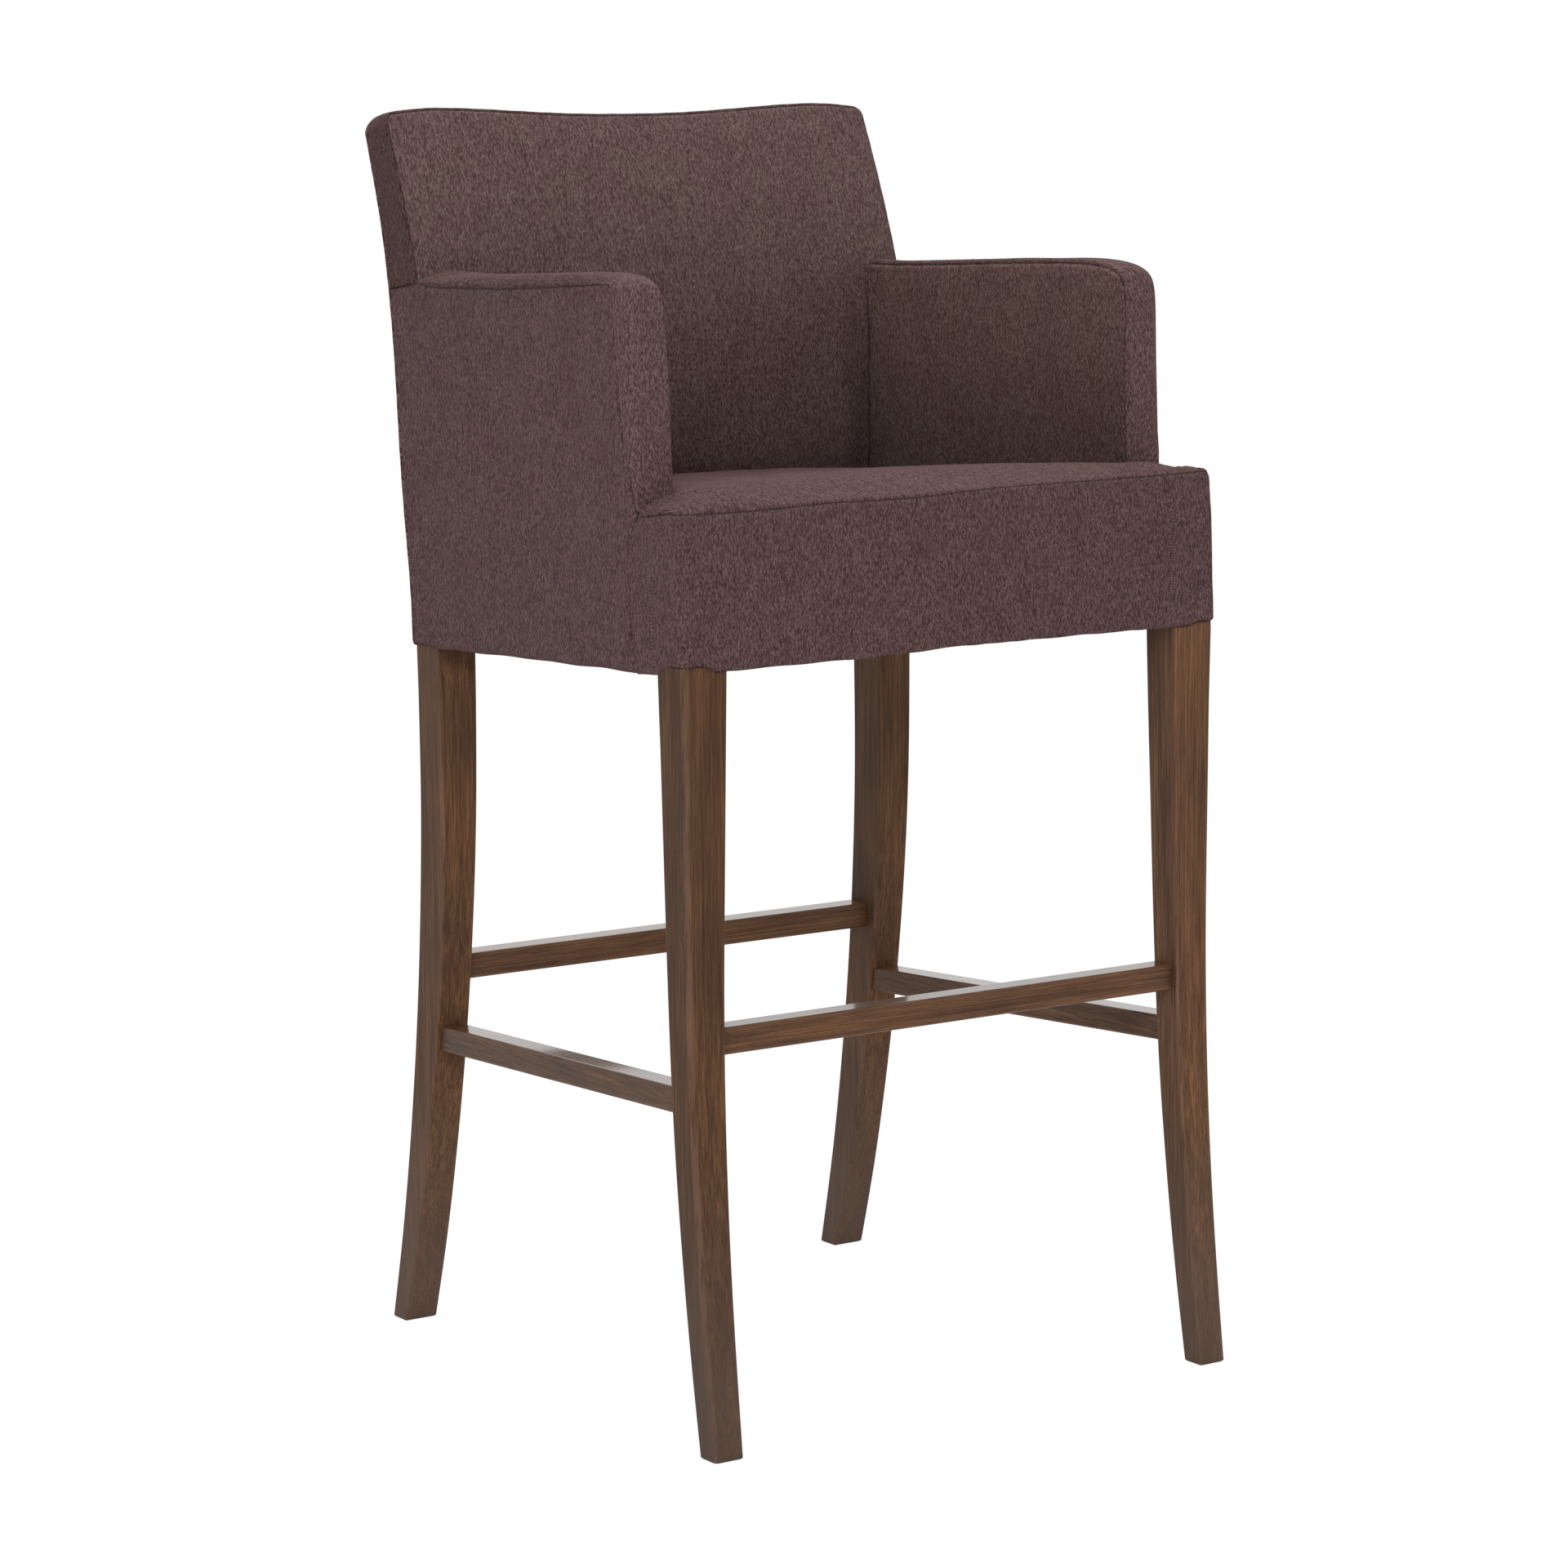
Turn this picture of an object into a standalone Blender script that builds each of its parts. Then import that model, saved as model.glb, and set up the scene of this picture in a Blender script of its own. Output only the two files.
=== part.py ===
"""Upholstered bar armchair on four curved beech legs."""
import math

import bmesh
import bpy
from mathutils import Matrix, Vector

# Whole object: the body leans back, the feet stand flat
lean_angle = math.radians(3.03)
gap = 0.0003
fabric = 0.0012
hem_height = 0.634

# Body plan, seen from above
front_face = -0.276
body_depth = 0.4666
front_half_width = 0.2793
side_taper = 0.0202
front_corner_radius = 0.012
body_foot_reach = 0.030

# Seat, measured up from the hem
band_height = 0.126
seam_rise = 0.009
seat_edge_radius = 0.014
seat_crown_insets = (0.045, 0.095, 0.150, 0.200)
seat_crown_rises = (0.005, 0.0085, 0.010, 0.0105)
seat_fall = 0.006
front_hem_rise = 0.004
hem_arch_height = 0.0055
hem_arch_margin = 0.004

# Arms, measured up from the seat's edge and back from the chair's front
arm_height = 0.200
arm_setback = 0.0635
arm_thickness = 0.040
arm_outer_radius = 0.010
arm_inner_radius = 0.004
arm_nose_radius = 0.015
arm_front_places = (0.0, 0.0055, 0.003)
arm_front_shares = (0.05, 0.16, 0.955)
arm_top_places = (0.0375, 0.1025)
arm_top_shares = (0.9825, 1.0)
arm_seam_places = (0.003, 0.0098, 0.0214, 0.0267, 0.0335)
arm_seam_shares = (0.07, 0.1625, 0.2885, 0.6095, 0.91)
arm_seam_corner_place = 0.0405
arm_seam_corner_share = 0.945
band_seam_places = (0.0136, 0.0193, 0.0211, 0.0138, 0.002)
band_seam_shares = (0.0, 0.2262, 0.6032, 0.8651, 1.0437)
notch_reach = 0.0275
notch_depth = 0.003

# Back, measured up from the arms and back from the rear face of the base
back_rise = 0.150
back_front_places = (-0.0506, -0.0376, -0.0064)
back_front_top_place = 0.0123
back_rear_places = (0.0347, 0.0201, 0.006, 0.0)
back_rear_top_place = 0.0569
back_front_low_share = 0.6984
back_front_arm_share = 0.98
back_front_high_share = 0.6587
back_rear_high_share = 0.436
back_rear_arm_share = 0.965
back_rear_low_shares = (0.873, 0.3651)
back_rear_top_share = 0.9667
back_top_front_radius = 0.007
back_top_rear_radius = 0.012
back_side_radius = 0.006
back_dish = 0.0085
back_shoulder_depths = (0.012, 0.022)
back_shoulder_drops = (0.013, 0.0085, 0.004, 0.0012)
back_dish_shares = (0.66, 0.33)
edge_seam_share = 0.7
crease_places = (-0.0516, -0.0386, 0.0154)
crease_shares = (0.95, 0.9775, 0.95)

# Padding
pad = 0.005
pad_rise = 0.002
rear_pad_places = (-0.0067, -0.0067, 0.0104, 0.0344, 0.0384)
rear_pad_high_shares = (0.68, 0.76)

# Legs: shares of their height, then how far each face stands from its place under the hem
leg_height_shares = (0.0, 0.1278, 0.2571, 0.3849, 0.5134, 0.642, 0.7697, 0.8991)
front_leg_flare = (-0.0367, -0.0256, -0.0159, -0.0086, -0.0039, -0.0015, -0.0007, 0.0)
front_leg_depths = (0.0223, 0.0252, 0.0272, 0.029, 0.0307, 0.0324, 0.0345, 0.0368)
front_leg_spread = (-0.0042, -0.004, -0.0037, -0.0033, -0.0029, -0.0024, -0.0017, -0.0011)
front_leg_widths = (0.0283, 0.0297, 0.0312, 0.0329, 0.0345, 0.0363, 0.0384, 0.0404)
rear_leg_flare = (0.0562, 0.0394, 0.0258, 0.015, 0.0067, 0.0009, -0.0022, -0.0024)
rear_leg_depths = (0.0233, 0.0288, 0.0334, 0.0369, 0.0392, 0.0404, 0.0405, 0.0395)
rear_leg_spread = (-0.0004, -0.0011, -0.0016, -0.0018, -0.0018, -0.0014, -0.0009, 0.0001)
rear_leg_widths = (0.0326, 0.0319, 0.0315, 0.0317, 0.0323, 0.0336, 0.0351, 0.0373)
leg_round = 0.007
leg_edge = 0.0015
leg_reveal = 0.003
front_leg_depth = 0.0394
front_leg_width = 0.0425
rear_leg_depth = 0.0374
rear_leg_width = 0.0397
leg_inner_shoulder = 0.001

# Seat frame
rail_cover = 0.007
rail_thickness = 0.024
rail_rise = 0.006
rail_height = 0.079
strap_thickness = 0.0015
strap_width = 0.055
strap_lap = 0.018
long_strap_count = 5
cross_strap_count = 4
dust_cover_thickness = 0.0008

# Stretchers: heights above the floor, and set back from the front faces of the legs
cross_stretcher_height = 0.023
front_stretcher_setback = 0.0078
front_stretcher_thickness = 0.0227
front_stretcher_top = 0.3543
rear_stretcher_setback = 0.0140
rear_stretcher_thickness = 0.025
rear_stretcher_top = 0.3452
side_stretcher_height = 0.0225
side_stretcher_thickness = 0.025
side_stretcher_depth = 0.0093
side_stretcher_top = 0.2933
stretcher_edge = 0.002
tenon_length = 0.014
tenon_edge = 0.004

# Tenons and corner blocks
rail_tenon_length = 0.015
side_tenon_length = 0.012
rail_tenon_edge = 0.006
rail_tenon_margin = 0.012
post_tenon_length = 0.012
back_tenon_length = 0.014
back_tenon_edge = 0.004
block_reach = 0.058
block_nose = 0.006
block_rise = 0.024
block_height = 0.030
screw_radius = 0.0022
screw_head_radius = 0.0045
screw_head_height = 0.003
screw_grip = 0.012
screw_bite = 0.014
screw_offset = 0.034

# Arm and back frame
arm_post_setback = 0.0205
arm_post_depth = 0.030
arm_rail_drop = 0.013
arm_rail_height = 0.022
post_width = 0.026
post_foot_rise = 0.003
post_neck_rise = 0.020
post_front_places = (-0.0411, -0.0336, -0.0186, 0.0079)
post_rear_places = (-0.007, -0.0046, 0.0092, 0.0326)
post_low_share = 0.2
post_high_share = 0.6533
post_top_share = 0.7333
back_top_rail_shares = (0.4133, 0.7067)
back_low_rail_rise = 0.023
back_low_rail_height = 0.045
back_rail_thickness = 0.020

# Fineness of the round forms
corner_steps = 4
smooth_angle = 40
round_steps = 8
tiny = 0.0002
reach = 0.060

# Plan and heights that follow from these
rear_face = front_face + body_depth
rear_half_width = front_half_width - side_taper
seat_edge_height = hem_height + band_height
seat_seam_height = seat_edge_height + seam_rise
arm_top = seat_edge_height + arm_height
back_top = arm_top + back_rise
front_hem_height = hem_height + front_hem_rise
rail_bottom = hem_height + rail_rise
rail_top = rail_bottom + rail_height
deck = rail_top + 2 * strap_thickness + 3 * gap
pad_bottom = hem_height + pad_rise
block_bottom = rail_bottom + block_rise
post_foot = rail_top + post_foot_rise
post_neck = post_foot + post_neck_rise
post_top = arm_top + back_rise * post_top_share
arm_rail_top = arm_top - arm_rail_drop
arm_rail_bottom = arm_rail_top - arm_rail_height
back_low_rail_bottom = post_foot + back_low_rail_rise
back_low_rail_top = back_low_rail_bottom + back_low_rail_height
back_top_rail_bottom, back_top_rail_top = [arm_top + back_rise * share for share in back_top_rail_shares]

# Outlines in the side view that follow from these
arm_front = front_face + arm_setback
arm_post_front = arm_front + arm_post_setback
notch_end = arm_front + notch_reach
arm_front_line = [(arm_front + v, seat_edge_height + arm_height * share)
                  for v, share in zip(arm_front_places, arm_front_shares)]
arm_top_line = [(arm_front + v, seat_edge_height + arm_height * share)
                for v, share in zip(arm_top_places, arm_top_shares)]
arm_seam_line = [(arm_front + v, seat_edge_height + arm_height * share)
                 for v, share in zip(arm_seam_places, arm_seam_shares)]
arm_seam_corner = (arm_front + arm_seam_corner_place, seat_edge_height + arm_height * arm_seam_corner_share)
band_seam_line = [(arm_front + v, hem_height + band_height * share)
                  for v, share in zip(band_seam_places, band_seam_shares)]
arm_seam_rear, arm_crease, arm_crease_rear = [(rear_face + v, seat_edge_height + arm_height * share)
                                              for v, share in zip(crease_places, crease_shares)]
back_front_heights = (hem_height + band_height * back_front_low_share,
                      seat_edge_height + arm_height * back_front_arm_share,
                      arm_top + back_rise * back_front_high_share)
back_front_line = [(rear_face + v, w) for v, w in zip(back_front_places, back_front_heights)]
back_rear_heights = (arm_top + back_rise * back_rear_high_share,
                     seat_edge_height + arm_height * back_rear_arm_share,
                     *[hem_height + band_height * share for share in back_rear_low_shares])
back_rear_line = [(rear_face + v, w) for v, w in zip(back_rear_places, back_rear_heights)]
back_top_front = (rear_face + back_front_top_place, back_top)
back_top_rear = (rear_face + back_rear_top_place, arm_top + back_rise * back_rear_top_share)
rear_pad_heights = (hem_height - tenon_edge, post_foot, back_front_heights[1],
                    *[arm_top + back_rise * share for share in rear_pad_high_shares])
rear_pad_line = [(rear_face + v, w) for v, w in zip(rear_pad_places, rear_pad_heights)]
post_heights = (post_foot, seat_edge_height + arm_height * post_low_share, back_rear_heights[1],
                arm_top + back_rise * post_high_share)
post_line = [(w, rear_face + a, rear_face + b)
             for w, a, b in zip(post_heights, post_front_places, post_rear_places)]
leg_heights = [hem_height * share for share in leg_height_shares]

for leftover in list(bpy.data.objects):
    bpy.data.objects.remove(leftover, do_unlink=True)

scene = bpy.context.scene
parts = bpy.data.collections.new("bar_armchair")
cutters = bpy.data.collections.new("cutters")
scene.collection.children.link(parts)
scene.collection.children.link(cutters)
LEAN = Matrix.Rotation(-lean_angle, 4, "X")
taper_share = (front_half_width - rear_half_width) / (rear_face - front_face)


def material(name, colour, roughness, metallic=0.0):
    mat = bpy.data.materials.new(name)
    mat.use_nodes = True
    shader = mat.node_tree.nodes["Principled BSDF"]
    shader.inputs["Base Color"].default_value = (*colour, 1.0)
    shader.inputs["Roughness"].default_value = roughness
    shader.inputs["Metallic"].default_value = metallic
    return mat


wood = material("walnut_stained_beech", (0.085, 0.047, 0.030), 0.45)
raw_wood = material("plain_beech", (0.55, 0.38, 0.23), 0.6)
cloth = material("aubergine_weave", (0.095, 0.062, 0.066), 0.9)
foam = material("upholstery_foam", (0.75, 0.70, 0.55), 0.95)
webbing = material("elastic_webbing", (0.12, 0.10, 0.09), 0.9)
lining = material("black_lining", (0.02, 0.02, 0.022), 0.9)
steel = material("zinc_steel", (0.55, 0.56, 0.58), 0.35, 1.0)


def to_world(point):
    return LEAN @ Vector(point)


def from_world(y, z):
    p = LEAN.inverted() @ Vector((0.0, y, z))
    return p.y, p.z


def side_x(v):
    return front_half_width - taper_share * (v - front_face)


def inset_corners(corners, amount):
    """Corner points of a counter-clockwise outline moved inward."""
    out = []
    count = len(corners)
    for i in range(count):
        p0 = Vector(corners[i - 1])
        p1 = Vector(corners[i])
        p2 = Vector(corners[(i + 1) % count])
        d0 = (p1 - p0).normalized()
        d1 = (p2 - p1).normalized()
        n0 = Vector((-d0.y, d0.x))
        n1 = Vector((-d1.y, d1.x))
        middle = n0 + n1
        out.append(p1 + middle * (amount / (middle.dot(n0))))
    return out


def rounded(corners, radii, steps):
    """Outline with arcs at the corners that have a radius."""
    out = []
    count = len(corners)
    for i in range(count):
        p1 = Vector(corners[i])
        if radii[i] <= 0:
            out.append(p1)
            continue
        a = (Vector(corners[i - 1]) - p1).normalized()
        b = (Vector(corners[(i + 1) % count]) - p1).normalized()
        half = a.angle(b) / 2
        leg = radii[i] / math.tan(half)
        centre = p1 + (a + b).normalized() * (radii[i] / math.sin(half))
        start = p1 + a * leg - centre
        end = p1 + b * leg - centre
        sweep = start.angle_signed(end)
        for k in range(steps + 1):
            turn = -sweep * k / steps
            c, s = math.cos(turn), math.sin(turn)
            out.append(centre + Vector((start.x * c - start.y * s, start.x * s + start.y * c)))
    return out


def outline(corners, radii, amount, steps):
    """Rounded outline, moved inward as a whole."""
    moved = inset_corners(corners, amount)
    less = [0 if r <= 0 else max(r - amount, tiny) for r in radii]
    return rounded(moved, less, steps)


def add_mesh(name, verts, faces, leaned=True, coll=None, mat=None):
    """One object, its origin at the middle of its own points."""
    low = Vector([min(v[i] for v in verts) for i in range(3)])
    high = Vector([max(v[i] for v in verts) for i in range(3)])
    middle = (low + high) / 2
    mesh = bpy.data.meshes.new(name)
    mesh.from_pydata([Vector(v) - middle for v in verts], [], faces)
    bm = bmesh.new()
    bm.from_mesh(mesh)
    bmesh.ops.recalc_face_normals(bm, faces=bm.faces)
    bm.to_mesh(mesh)
    bm.free()
    ob = bpy.data.objects.new(name, mesh)
    if leaned:
        ob.rotation_euler = (-lean_angle, 0.0, 0.0)
        ob.location = to_world(middle)
    else:
        ob.location = middle
    (coll or cutters).objects.link(ob)
    if mat:
        mesh.materials.append(mat)
    else:
        ob.hide_render = True
        ob.display_type = "WIRE"
    return ob


def loft(name, rings, curved=False, **kw):
    """Closed skin through rings that have equal point counts; curved walls are split into triangles."""
    size = len(rings[0])
    verts = [tuple(p) for ring in rings for p in ring]
    faces = []
    for r in range(len(rings) - 1):
        for i in range(size):
            j = (i + 1) % size
            a, b, c, d = r * size + i, r * size + j, (r + 1) * size + j, (r + 1) * size + i
            if curved:
                faces += [(a, b, c), (a, c, d)]
            else:
                faces.append((a, b, c, d))
    faces.append(tuple(range(size)))
    last = (len(rings) - 1) * size
    faces.append(tuple(range(last, last + size)))
    return add_mesh(name, verts, faces, **kw)


def prism_x(name, points, x0, x1, **kw):
    """Side-view outline carried straight across."""
    return loft(name, [[(x, p[0], p[1]) for p in points] for x in (x0, x1)], **kw)


def prism_side(name, points, depth0, depth1, sign, **kw):
    """Side-view outline carried between two depths under the side face."""
    rings = [[(sign * (side_x(p[0]) - d), p[0], p[1]) for p in points] for d in (depth0, depth1)]
    return loft(name, rings, **kw)


def prism_w(name, points, w0, w1, **kw):
    """Plan outline carried straight up."""
    return loft(name, [[(p[0], p[1], w) for p in points] for w in (w0, w1)], **kw)


def box(name, x, v, w, **kw):
    points = [(x[0], v[0]), (x[1], v[0]), (x[1], v[1]), (x[0], v[1])]
    return prism_w(name, points, w[0], w[1], **kw)


def rod(name, start, end, radius, steps=round_steps, **kw):
    """Round rod between two points."""
    a, b = Vector(start), Vector(end)
    axis = (b - a).normalized()
    side = axis.orthogonal().normalized()
    other = axis.cross(side)
    rings = []
    for p in (a, b):
        ring = []
        for k in range(steps):
            turn = 2 * math.pi * k / steps
            ring.append(p + (side * math.cos(turn) + other * math.sin(turn)) * radius)
        rings.append(ring)
    return loft(name, rings, **kw)


def settle(ob):
    """Turn the modifiers into plain mesh."""
    bpy.context.view_layer.update()
    graph = bpy.context.evaluated_depsgraph_get()
    mesh = bpy.data.meshes.new_from_object(ob.evaluated_get(graph))
    ob.modifiers.clear()
    ob.data = mesh
    bm = bmesh.new()
    bm.from_mesh(mesh)
    bmesh.ops.remove_doubles(bm, verts=bm.verts, dist=tiny / 20)
    bmesh.ops.dissolve_degenerate(bm, edges=bm.edges, dist=tiny / 20)
    bm.to_mesh(mesh)
    bm.free()
    return ob


def combine(ob, others, operation):
    for other in others:
        mod = ob.modifiers.new("join", "BOOLEAN")
        mod.operation = operation
        mod.solver = "EXACT"
        mod.object = other
        settle(ob)
    return ob


def cut(ob, *others):
    return combine(ob, others, "DIFFERENCE")


def keep(ob, *others):
    return combine(ob, others, "INTERSECT")


def join(ob, *others):
    return combine(ob, others, "UNION")


def piece(ob, name, mat, smooth=0.0):
    """Move a finished solid into the parts and give it its material."""
    for coll in list(ob.users_collection):
        coll.objects.unlink(ob)
    parts.objects.link(ob)
    ob.name = name
    ob.data.name = name
    ob.hide_render = False
    ob.display_type = "SOLID"
    own = mat.copy()
    own.name = name + "_finish"
    ob.data.materials.clear()
    ob.data.materials.append(own)
    if smooth:
        ob.data.shade_smooth()
        ob.data.set_sharp_from_angle(angle=math.radians(smooth))
    return ob


# Forms of the upholstery, each of which can be drawn a little smaller
def base_form(t):
    corners = [(-front_half_width, front_face), (front_half_width, front_face),
               (rear_half_width, rear_face), (-rear_half_width, rear_face)]
    radii = [front_corner_radius, front_corner_radius, front_corner_radius, front_corner_radius]
    depth = rear_face - front_face

    def ring(inset, w):
        pts = outline(corners, radii, inset, corner_steps)
        fall = [seat_fall * (p.y - front_face) / depth if w > seat_edge_height else 0.0 for p in pts]
        return [(p.x, p.y, w - f) for p, f in zip(pts, fall)]

    rings = [ring(t, hem_height - body_foot_reach), ring(t, seat_edge_height)]
    less = seat_edge_radius - t
    for k in range(1, 4):
        turn = math.radians(30) * k
        rings.append(ring(seat_edge_radius - less * math.cos(turn), seat_edge_height + less * math.sin(turn)))
    for inset, rise in zip(seat_crown_insets, seat_crown_rises):
        rings.append(ring(inset, seat_edge_height + less + rise))
    return loft("base_form", rings, curved=True)


def arm_corners():
    low = deck - body_foot_reach
    rear = back_front_line[1][0] + rail_thickness
    pts = [(arm_front_line[0][0], low), *arm_front_line, *arm_top_line, (rear, arm_top), (rear, low)]
    pts.reverse()
    radii = [0] * len(pts)
    radii[pts.index(arm_front_line[-1])] = arm_nose_radius
    return pts, radii


def arm_form(t, sign):
    corners, radii = arm_corners()
    rings = []
    for k in range(3):
        turn = math.radians(45) * k
        less = arm_outer_radius - t
        rings.append((t + less * (1 - math.cos(turn)), t + less * (1 - math.sin(turn))))
    for k in range(2, -1, -1):
        turn = math.radians(45) * k
        less = arm_inner_radius - t
        rings.append((arm_thickness - t - less * (1 - math.cos(turn)), t + less * (1 - math.sin(turn))))
    out = []
    for depth, inset in rings:
        edge = outline(corners, radii, inset, corner_steps)
        out.append([(sign * (side_x(p.x) - depth), p.x, p.y) for p in edge])
    return loft("arm_form", out, curved=True)


def back_ring(inset, drop):
    low = hem_height - body_foot_reach
    pts = [(back_front_line[0][0], low), *back_front_line,
           (back_top_front[0], back_top_front[1] - drop), (back_top_rear[0], back_top_rear[1] - drop),
           *back_rear_line, (rear_face, low)]
    radii = [0] * len(pts)
    radii[len(back_front_line) + 1] = back_top_front_radius
    radii[len(back_front_line) + 2] = back_top_rear_radius
    pts.reverse()
    radii.reverse()
    return outline(pts, radii, inset, corner_steps - 1)


def back_form(t):
    stations = []
    for k in range(3):
        turn = math.radians(45) * k
        less = back_side_radius - t
        along, across = 1 - math.cos(turn), 1 - math.sin(turn)
        stations.append((t + less * along, t + less * across, back_shoulder_drops[k]))
    for depth, drop in zip(back_shoulder_depths, (back_shoulder_drops[3], 0.0)):
        stations.append((depth, t, drop))
    rings = []
    for sign in (-1, 1):
        half = []
        for depth, inset, drop in stations:
            half.append([(sign * (side_x(p.x) - depth), p.x, p.y) for p in back_ring(inset, drop)])
        for share in back_dish_shares:
            drop = back_dish * (1 - share * share)
            half.append([(sign * share * (side_x(p.x) - back_shoulder_depths[1]), p.x, p.y)
                         for p in back_ring(t, drop)])
        if sign < 0:
            rings = half + [[(0.0, p.x, p.y) for p in back_ring(t, back_dish)]]
        else:
            rings = rings + half[::-1]
    return loft("back_form", rings, curved=True)


def front_of_back(extra):
    """Everything in front of the back's front face, seen from the side."""
    far = front_face - reach
    top = back_top_front[1] + reach
    line = [(back_front_line[0][0], hem_height - reach), *back_front_line]
    slope = (back_top_front[0] - back_front_line[2][0]) / (back_top_front[1] - back_front_line[2][1])
    line.append((back_front_line[2][0] + slope * (top - back_front_line[2][1]), top))
    pts = [(v - extra, w) for v, w in line] + [(far, top), (far, hem_height - reach)]
    return prism_x("front_of_back", pts, -front_half_width - reach, front_half_width + reach)


def side_panel_points(extra):
    """Outline of the big outer side panel, from hem to arm seam."""
    rear = [(v - back_side_radius - fabric, w) for v, w in ((arm_crease_rear[0] + fabric, arm_crease_rear[1]),
            (back_rear_line[2][0], back_rear_line[2][1]), (rear_face, back_rear_line[3][1]))]
    pts = [*band_seam_line, *arm_seam_line, arm_seam_corner, arm_seam_rear, arm_crease, *rear,
           (rear[-1][0], hem_height)]
    pts.reverse()
    return inset_corners(pts, extra)


seam_gap = gap / 2
wide = front_half_width + reach
low = hem_height - reach

# Forms one fabric smaller than the outside
base_in = base_form(fabric)
back_in = back_form(fabric)
ahead = front_of_back(gap)

side_cutters = {}
arm_solid = {}
for side, sign in (("left", -1), ("right", 1)):
    side_cutters[side] = prism_side("side_region", side_panel_points(-gap), -tiny * 5, fabric + tiny, sign)
    arm_solid[side] = keep(arm_form(-gap, sign), ahead)

# Outer side panels, one on each side
for side, sign in (("left", -1), ("right", 1)):
    panel = prism_side("side_cover_" + side, side_panel_points(seam_gap), 0.0, fabric, sign)
    piece(panel, "side_cover_" + side, cloth)

# Arms: boxing strip over front and top, and inner panel
notch_height = band_seam_line[-1][1]
notches = {}
for side, sign in (("left", -1), ("right", 1)):
    top = notch_height + gap
    pts = [(front_face, low), (notch_end, low), (notch_end, top), (front_face, top)]
    notches[side] = prism_side("notch", pts, -2 * pad, fabric + 2 * gap, sign)
for side, sign in (("left", -1), ("right", 1)):
    arm_low = deck + 2 * pad
    above = box("above", (-wide, wide), (front_face - reach, rear_face + reach), (arm_low, arm_top + reach))
    corners, radii = arm_corners()
    inner_pts = inset_corners(corners, arm_inner_radius)
    tucked = [(v, w if w > arm_low else low) for v, w in inner_pts]
    inner_zone = prism_side("inner_zone", tucked, arm_thickness - arm_inner_radius / 2,
                            arm_thickness + reach, sign)
    wider = [(v, w if w > arm_low else low) for v, w in inset_corners(corners, arm_inner_radius - gap)]
    inner_cut = prism_side("inner_cut", wider, arm_thickness - arm_inner_radius / 2 - gap,
                           arm_thickness + reach, sign)
    core = arm_form(fabric, sign)
    inner = cut(keep(arm_form(0, sign), inner_zone, above, ahead), core)
    piece(inner, "arm_inner_cover_" + side, cloth, smooth_angle)
    strip = cut(keep(arm_form(0, sign), above, ahead), core, inner_cut, side_cutters[side], notches[side])
    piece(strip, "arm_strip_" + side, cloth, smooth_angle)

# Seat panel and front band
arms_off = (arm_solid["left"], arm_solid["right"])
seat_top_zone = box("seat_top_zone", (-wide, wide), (front_face - reach, rear_face + reach),
                    (seat_seam_height + seam_gap, arm_top))
seat_cover = cut(keep(base_form(0), seat_top_zone, ahead), base_in, *arms_off)
piece(seat_cover, "seat_cover", cloth, smooth_angle)
band_end = band_seam_line[1][0] + 2 * pad
band_zone = box("band_zone", (-wide, wide), (front_face - reach, band_end),
                (hem_height, seat_seam_height - seam_gap))
leg_x = side_x(front_face + leg_reveal) - leg_reveal - front_leg_width - hem_arch_margin
leg_v = front_face + leg_reveal + front_leg_depth + hem_arch_margin
arch_top = hem_height + hem_arch_height
arch_cuts = []
for sign in (-1, 1):
    rings = []
    for w, back_by in ((low, -reach), (arch_top, hem_arch_height)):
        corner = [(leg_x + back_by, front_face - reach), (wide, front_face - reach),
                  (wide, leg_v - back_by), (leg_x + back_by, leg_v - back_by)]
        rings.append([(sign * x, v, w) for x, v in corner])
    arch_cuts.append(loft("arch", rings))
arch_cuts.append(box("front_hem", (-wide, wide), (front_face - reach, front_face + front_corner_radius),
                     (low, front_hem_height)))
arm_foot = box("arm_foot", (-wide, wide), (arm_front_line[0][0] - gap, rear_face), (notch_height, arm_top))
band_ends = [prism_side("band_end", side_panel_points(-gap), -tiny * 5, pad, sign) for sign in (-1, 1)]
band = cut(keep(base_form(0), band_zone), arm_foot, *arch_cuts, *band_ends, base_in)
piece(band, "front_band_cover", cloth, smooth_angle)

# Back: front panel, boxing strip and rear panel
arm_inner_x = side_x(back_front_line[1][0]) - arm_thickness
front_zones = []
for grow in (0.0, gap):
    pts = []
    half_low = arm_inner_x - gap + grow
    half_top = side_x(back_top_front[0]) - back_side_radius * edge_seam_share + grow
    step = arm_top + gap - grow
    ceiling = back_top_front[1] - back_top_front_radius * edge_seam_share + grow
    shoulder = back_shoulder_depths[1]
    pts = [(-half_low, low), (half_low, low), (half_low, step), (half_top, step),
           (half_top, ceiling - back_shoulder_drops[0]), (half_top - shoulder, ceiling),
           (half_low * back_dish_shares[0], ceiling - back_dish * (1 - back_dish_shares[0] ** 2)),
           (0.0, ceiling - back_dish),
           (-half_low * back_dish_shares[0], ceiling - back_dish * (1 - back_dish_shares[0] ** 2)),
           (-half_top + shoulder, ceiling), (-half_top, ceiling - back_shoulder_drops[0]),
           (-half_top, step), (-half_low, step)]
    front_zones.append(pts)


def back_zone_solid(points, depth):
    """Front-view outline carried back to one depth behind the raked face."""
    line = [(back_front_line[0][0], low), *back_front_line, back_top_front]
    side_pts = [(v - reach, w) for v, w in line] + [(v + depth, w) for v, w in reversed(line)]
    slab = prism_x("slab", side_pts, -wide, wide)
    front = loft("front_view", [[(x, v, w) for x, w in points] for v in (front_face, rear_face + reach)])
    return keep(slab, front)


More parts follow.
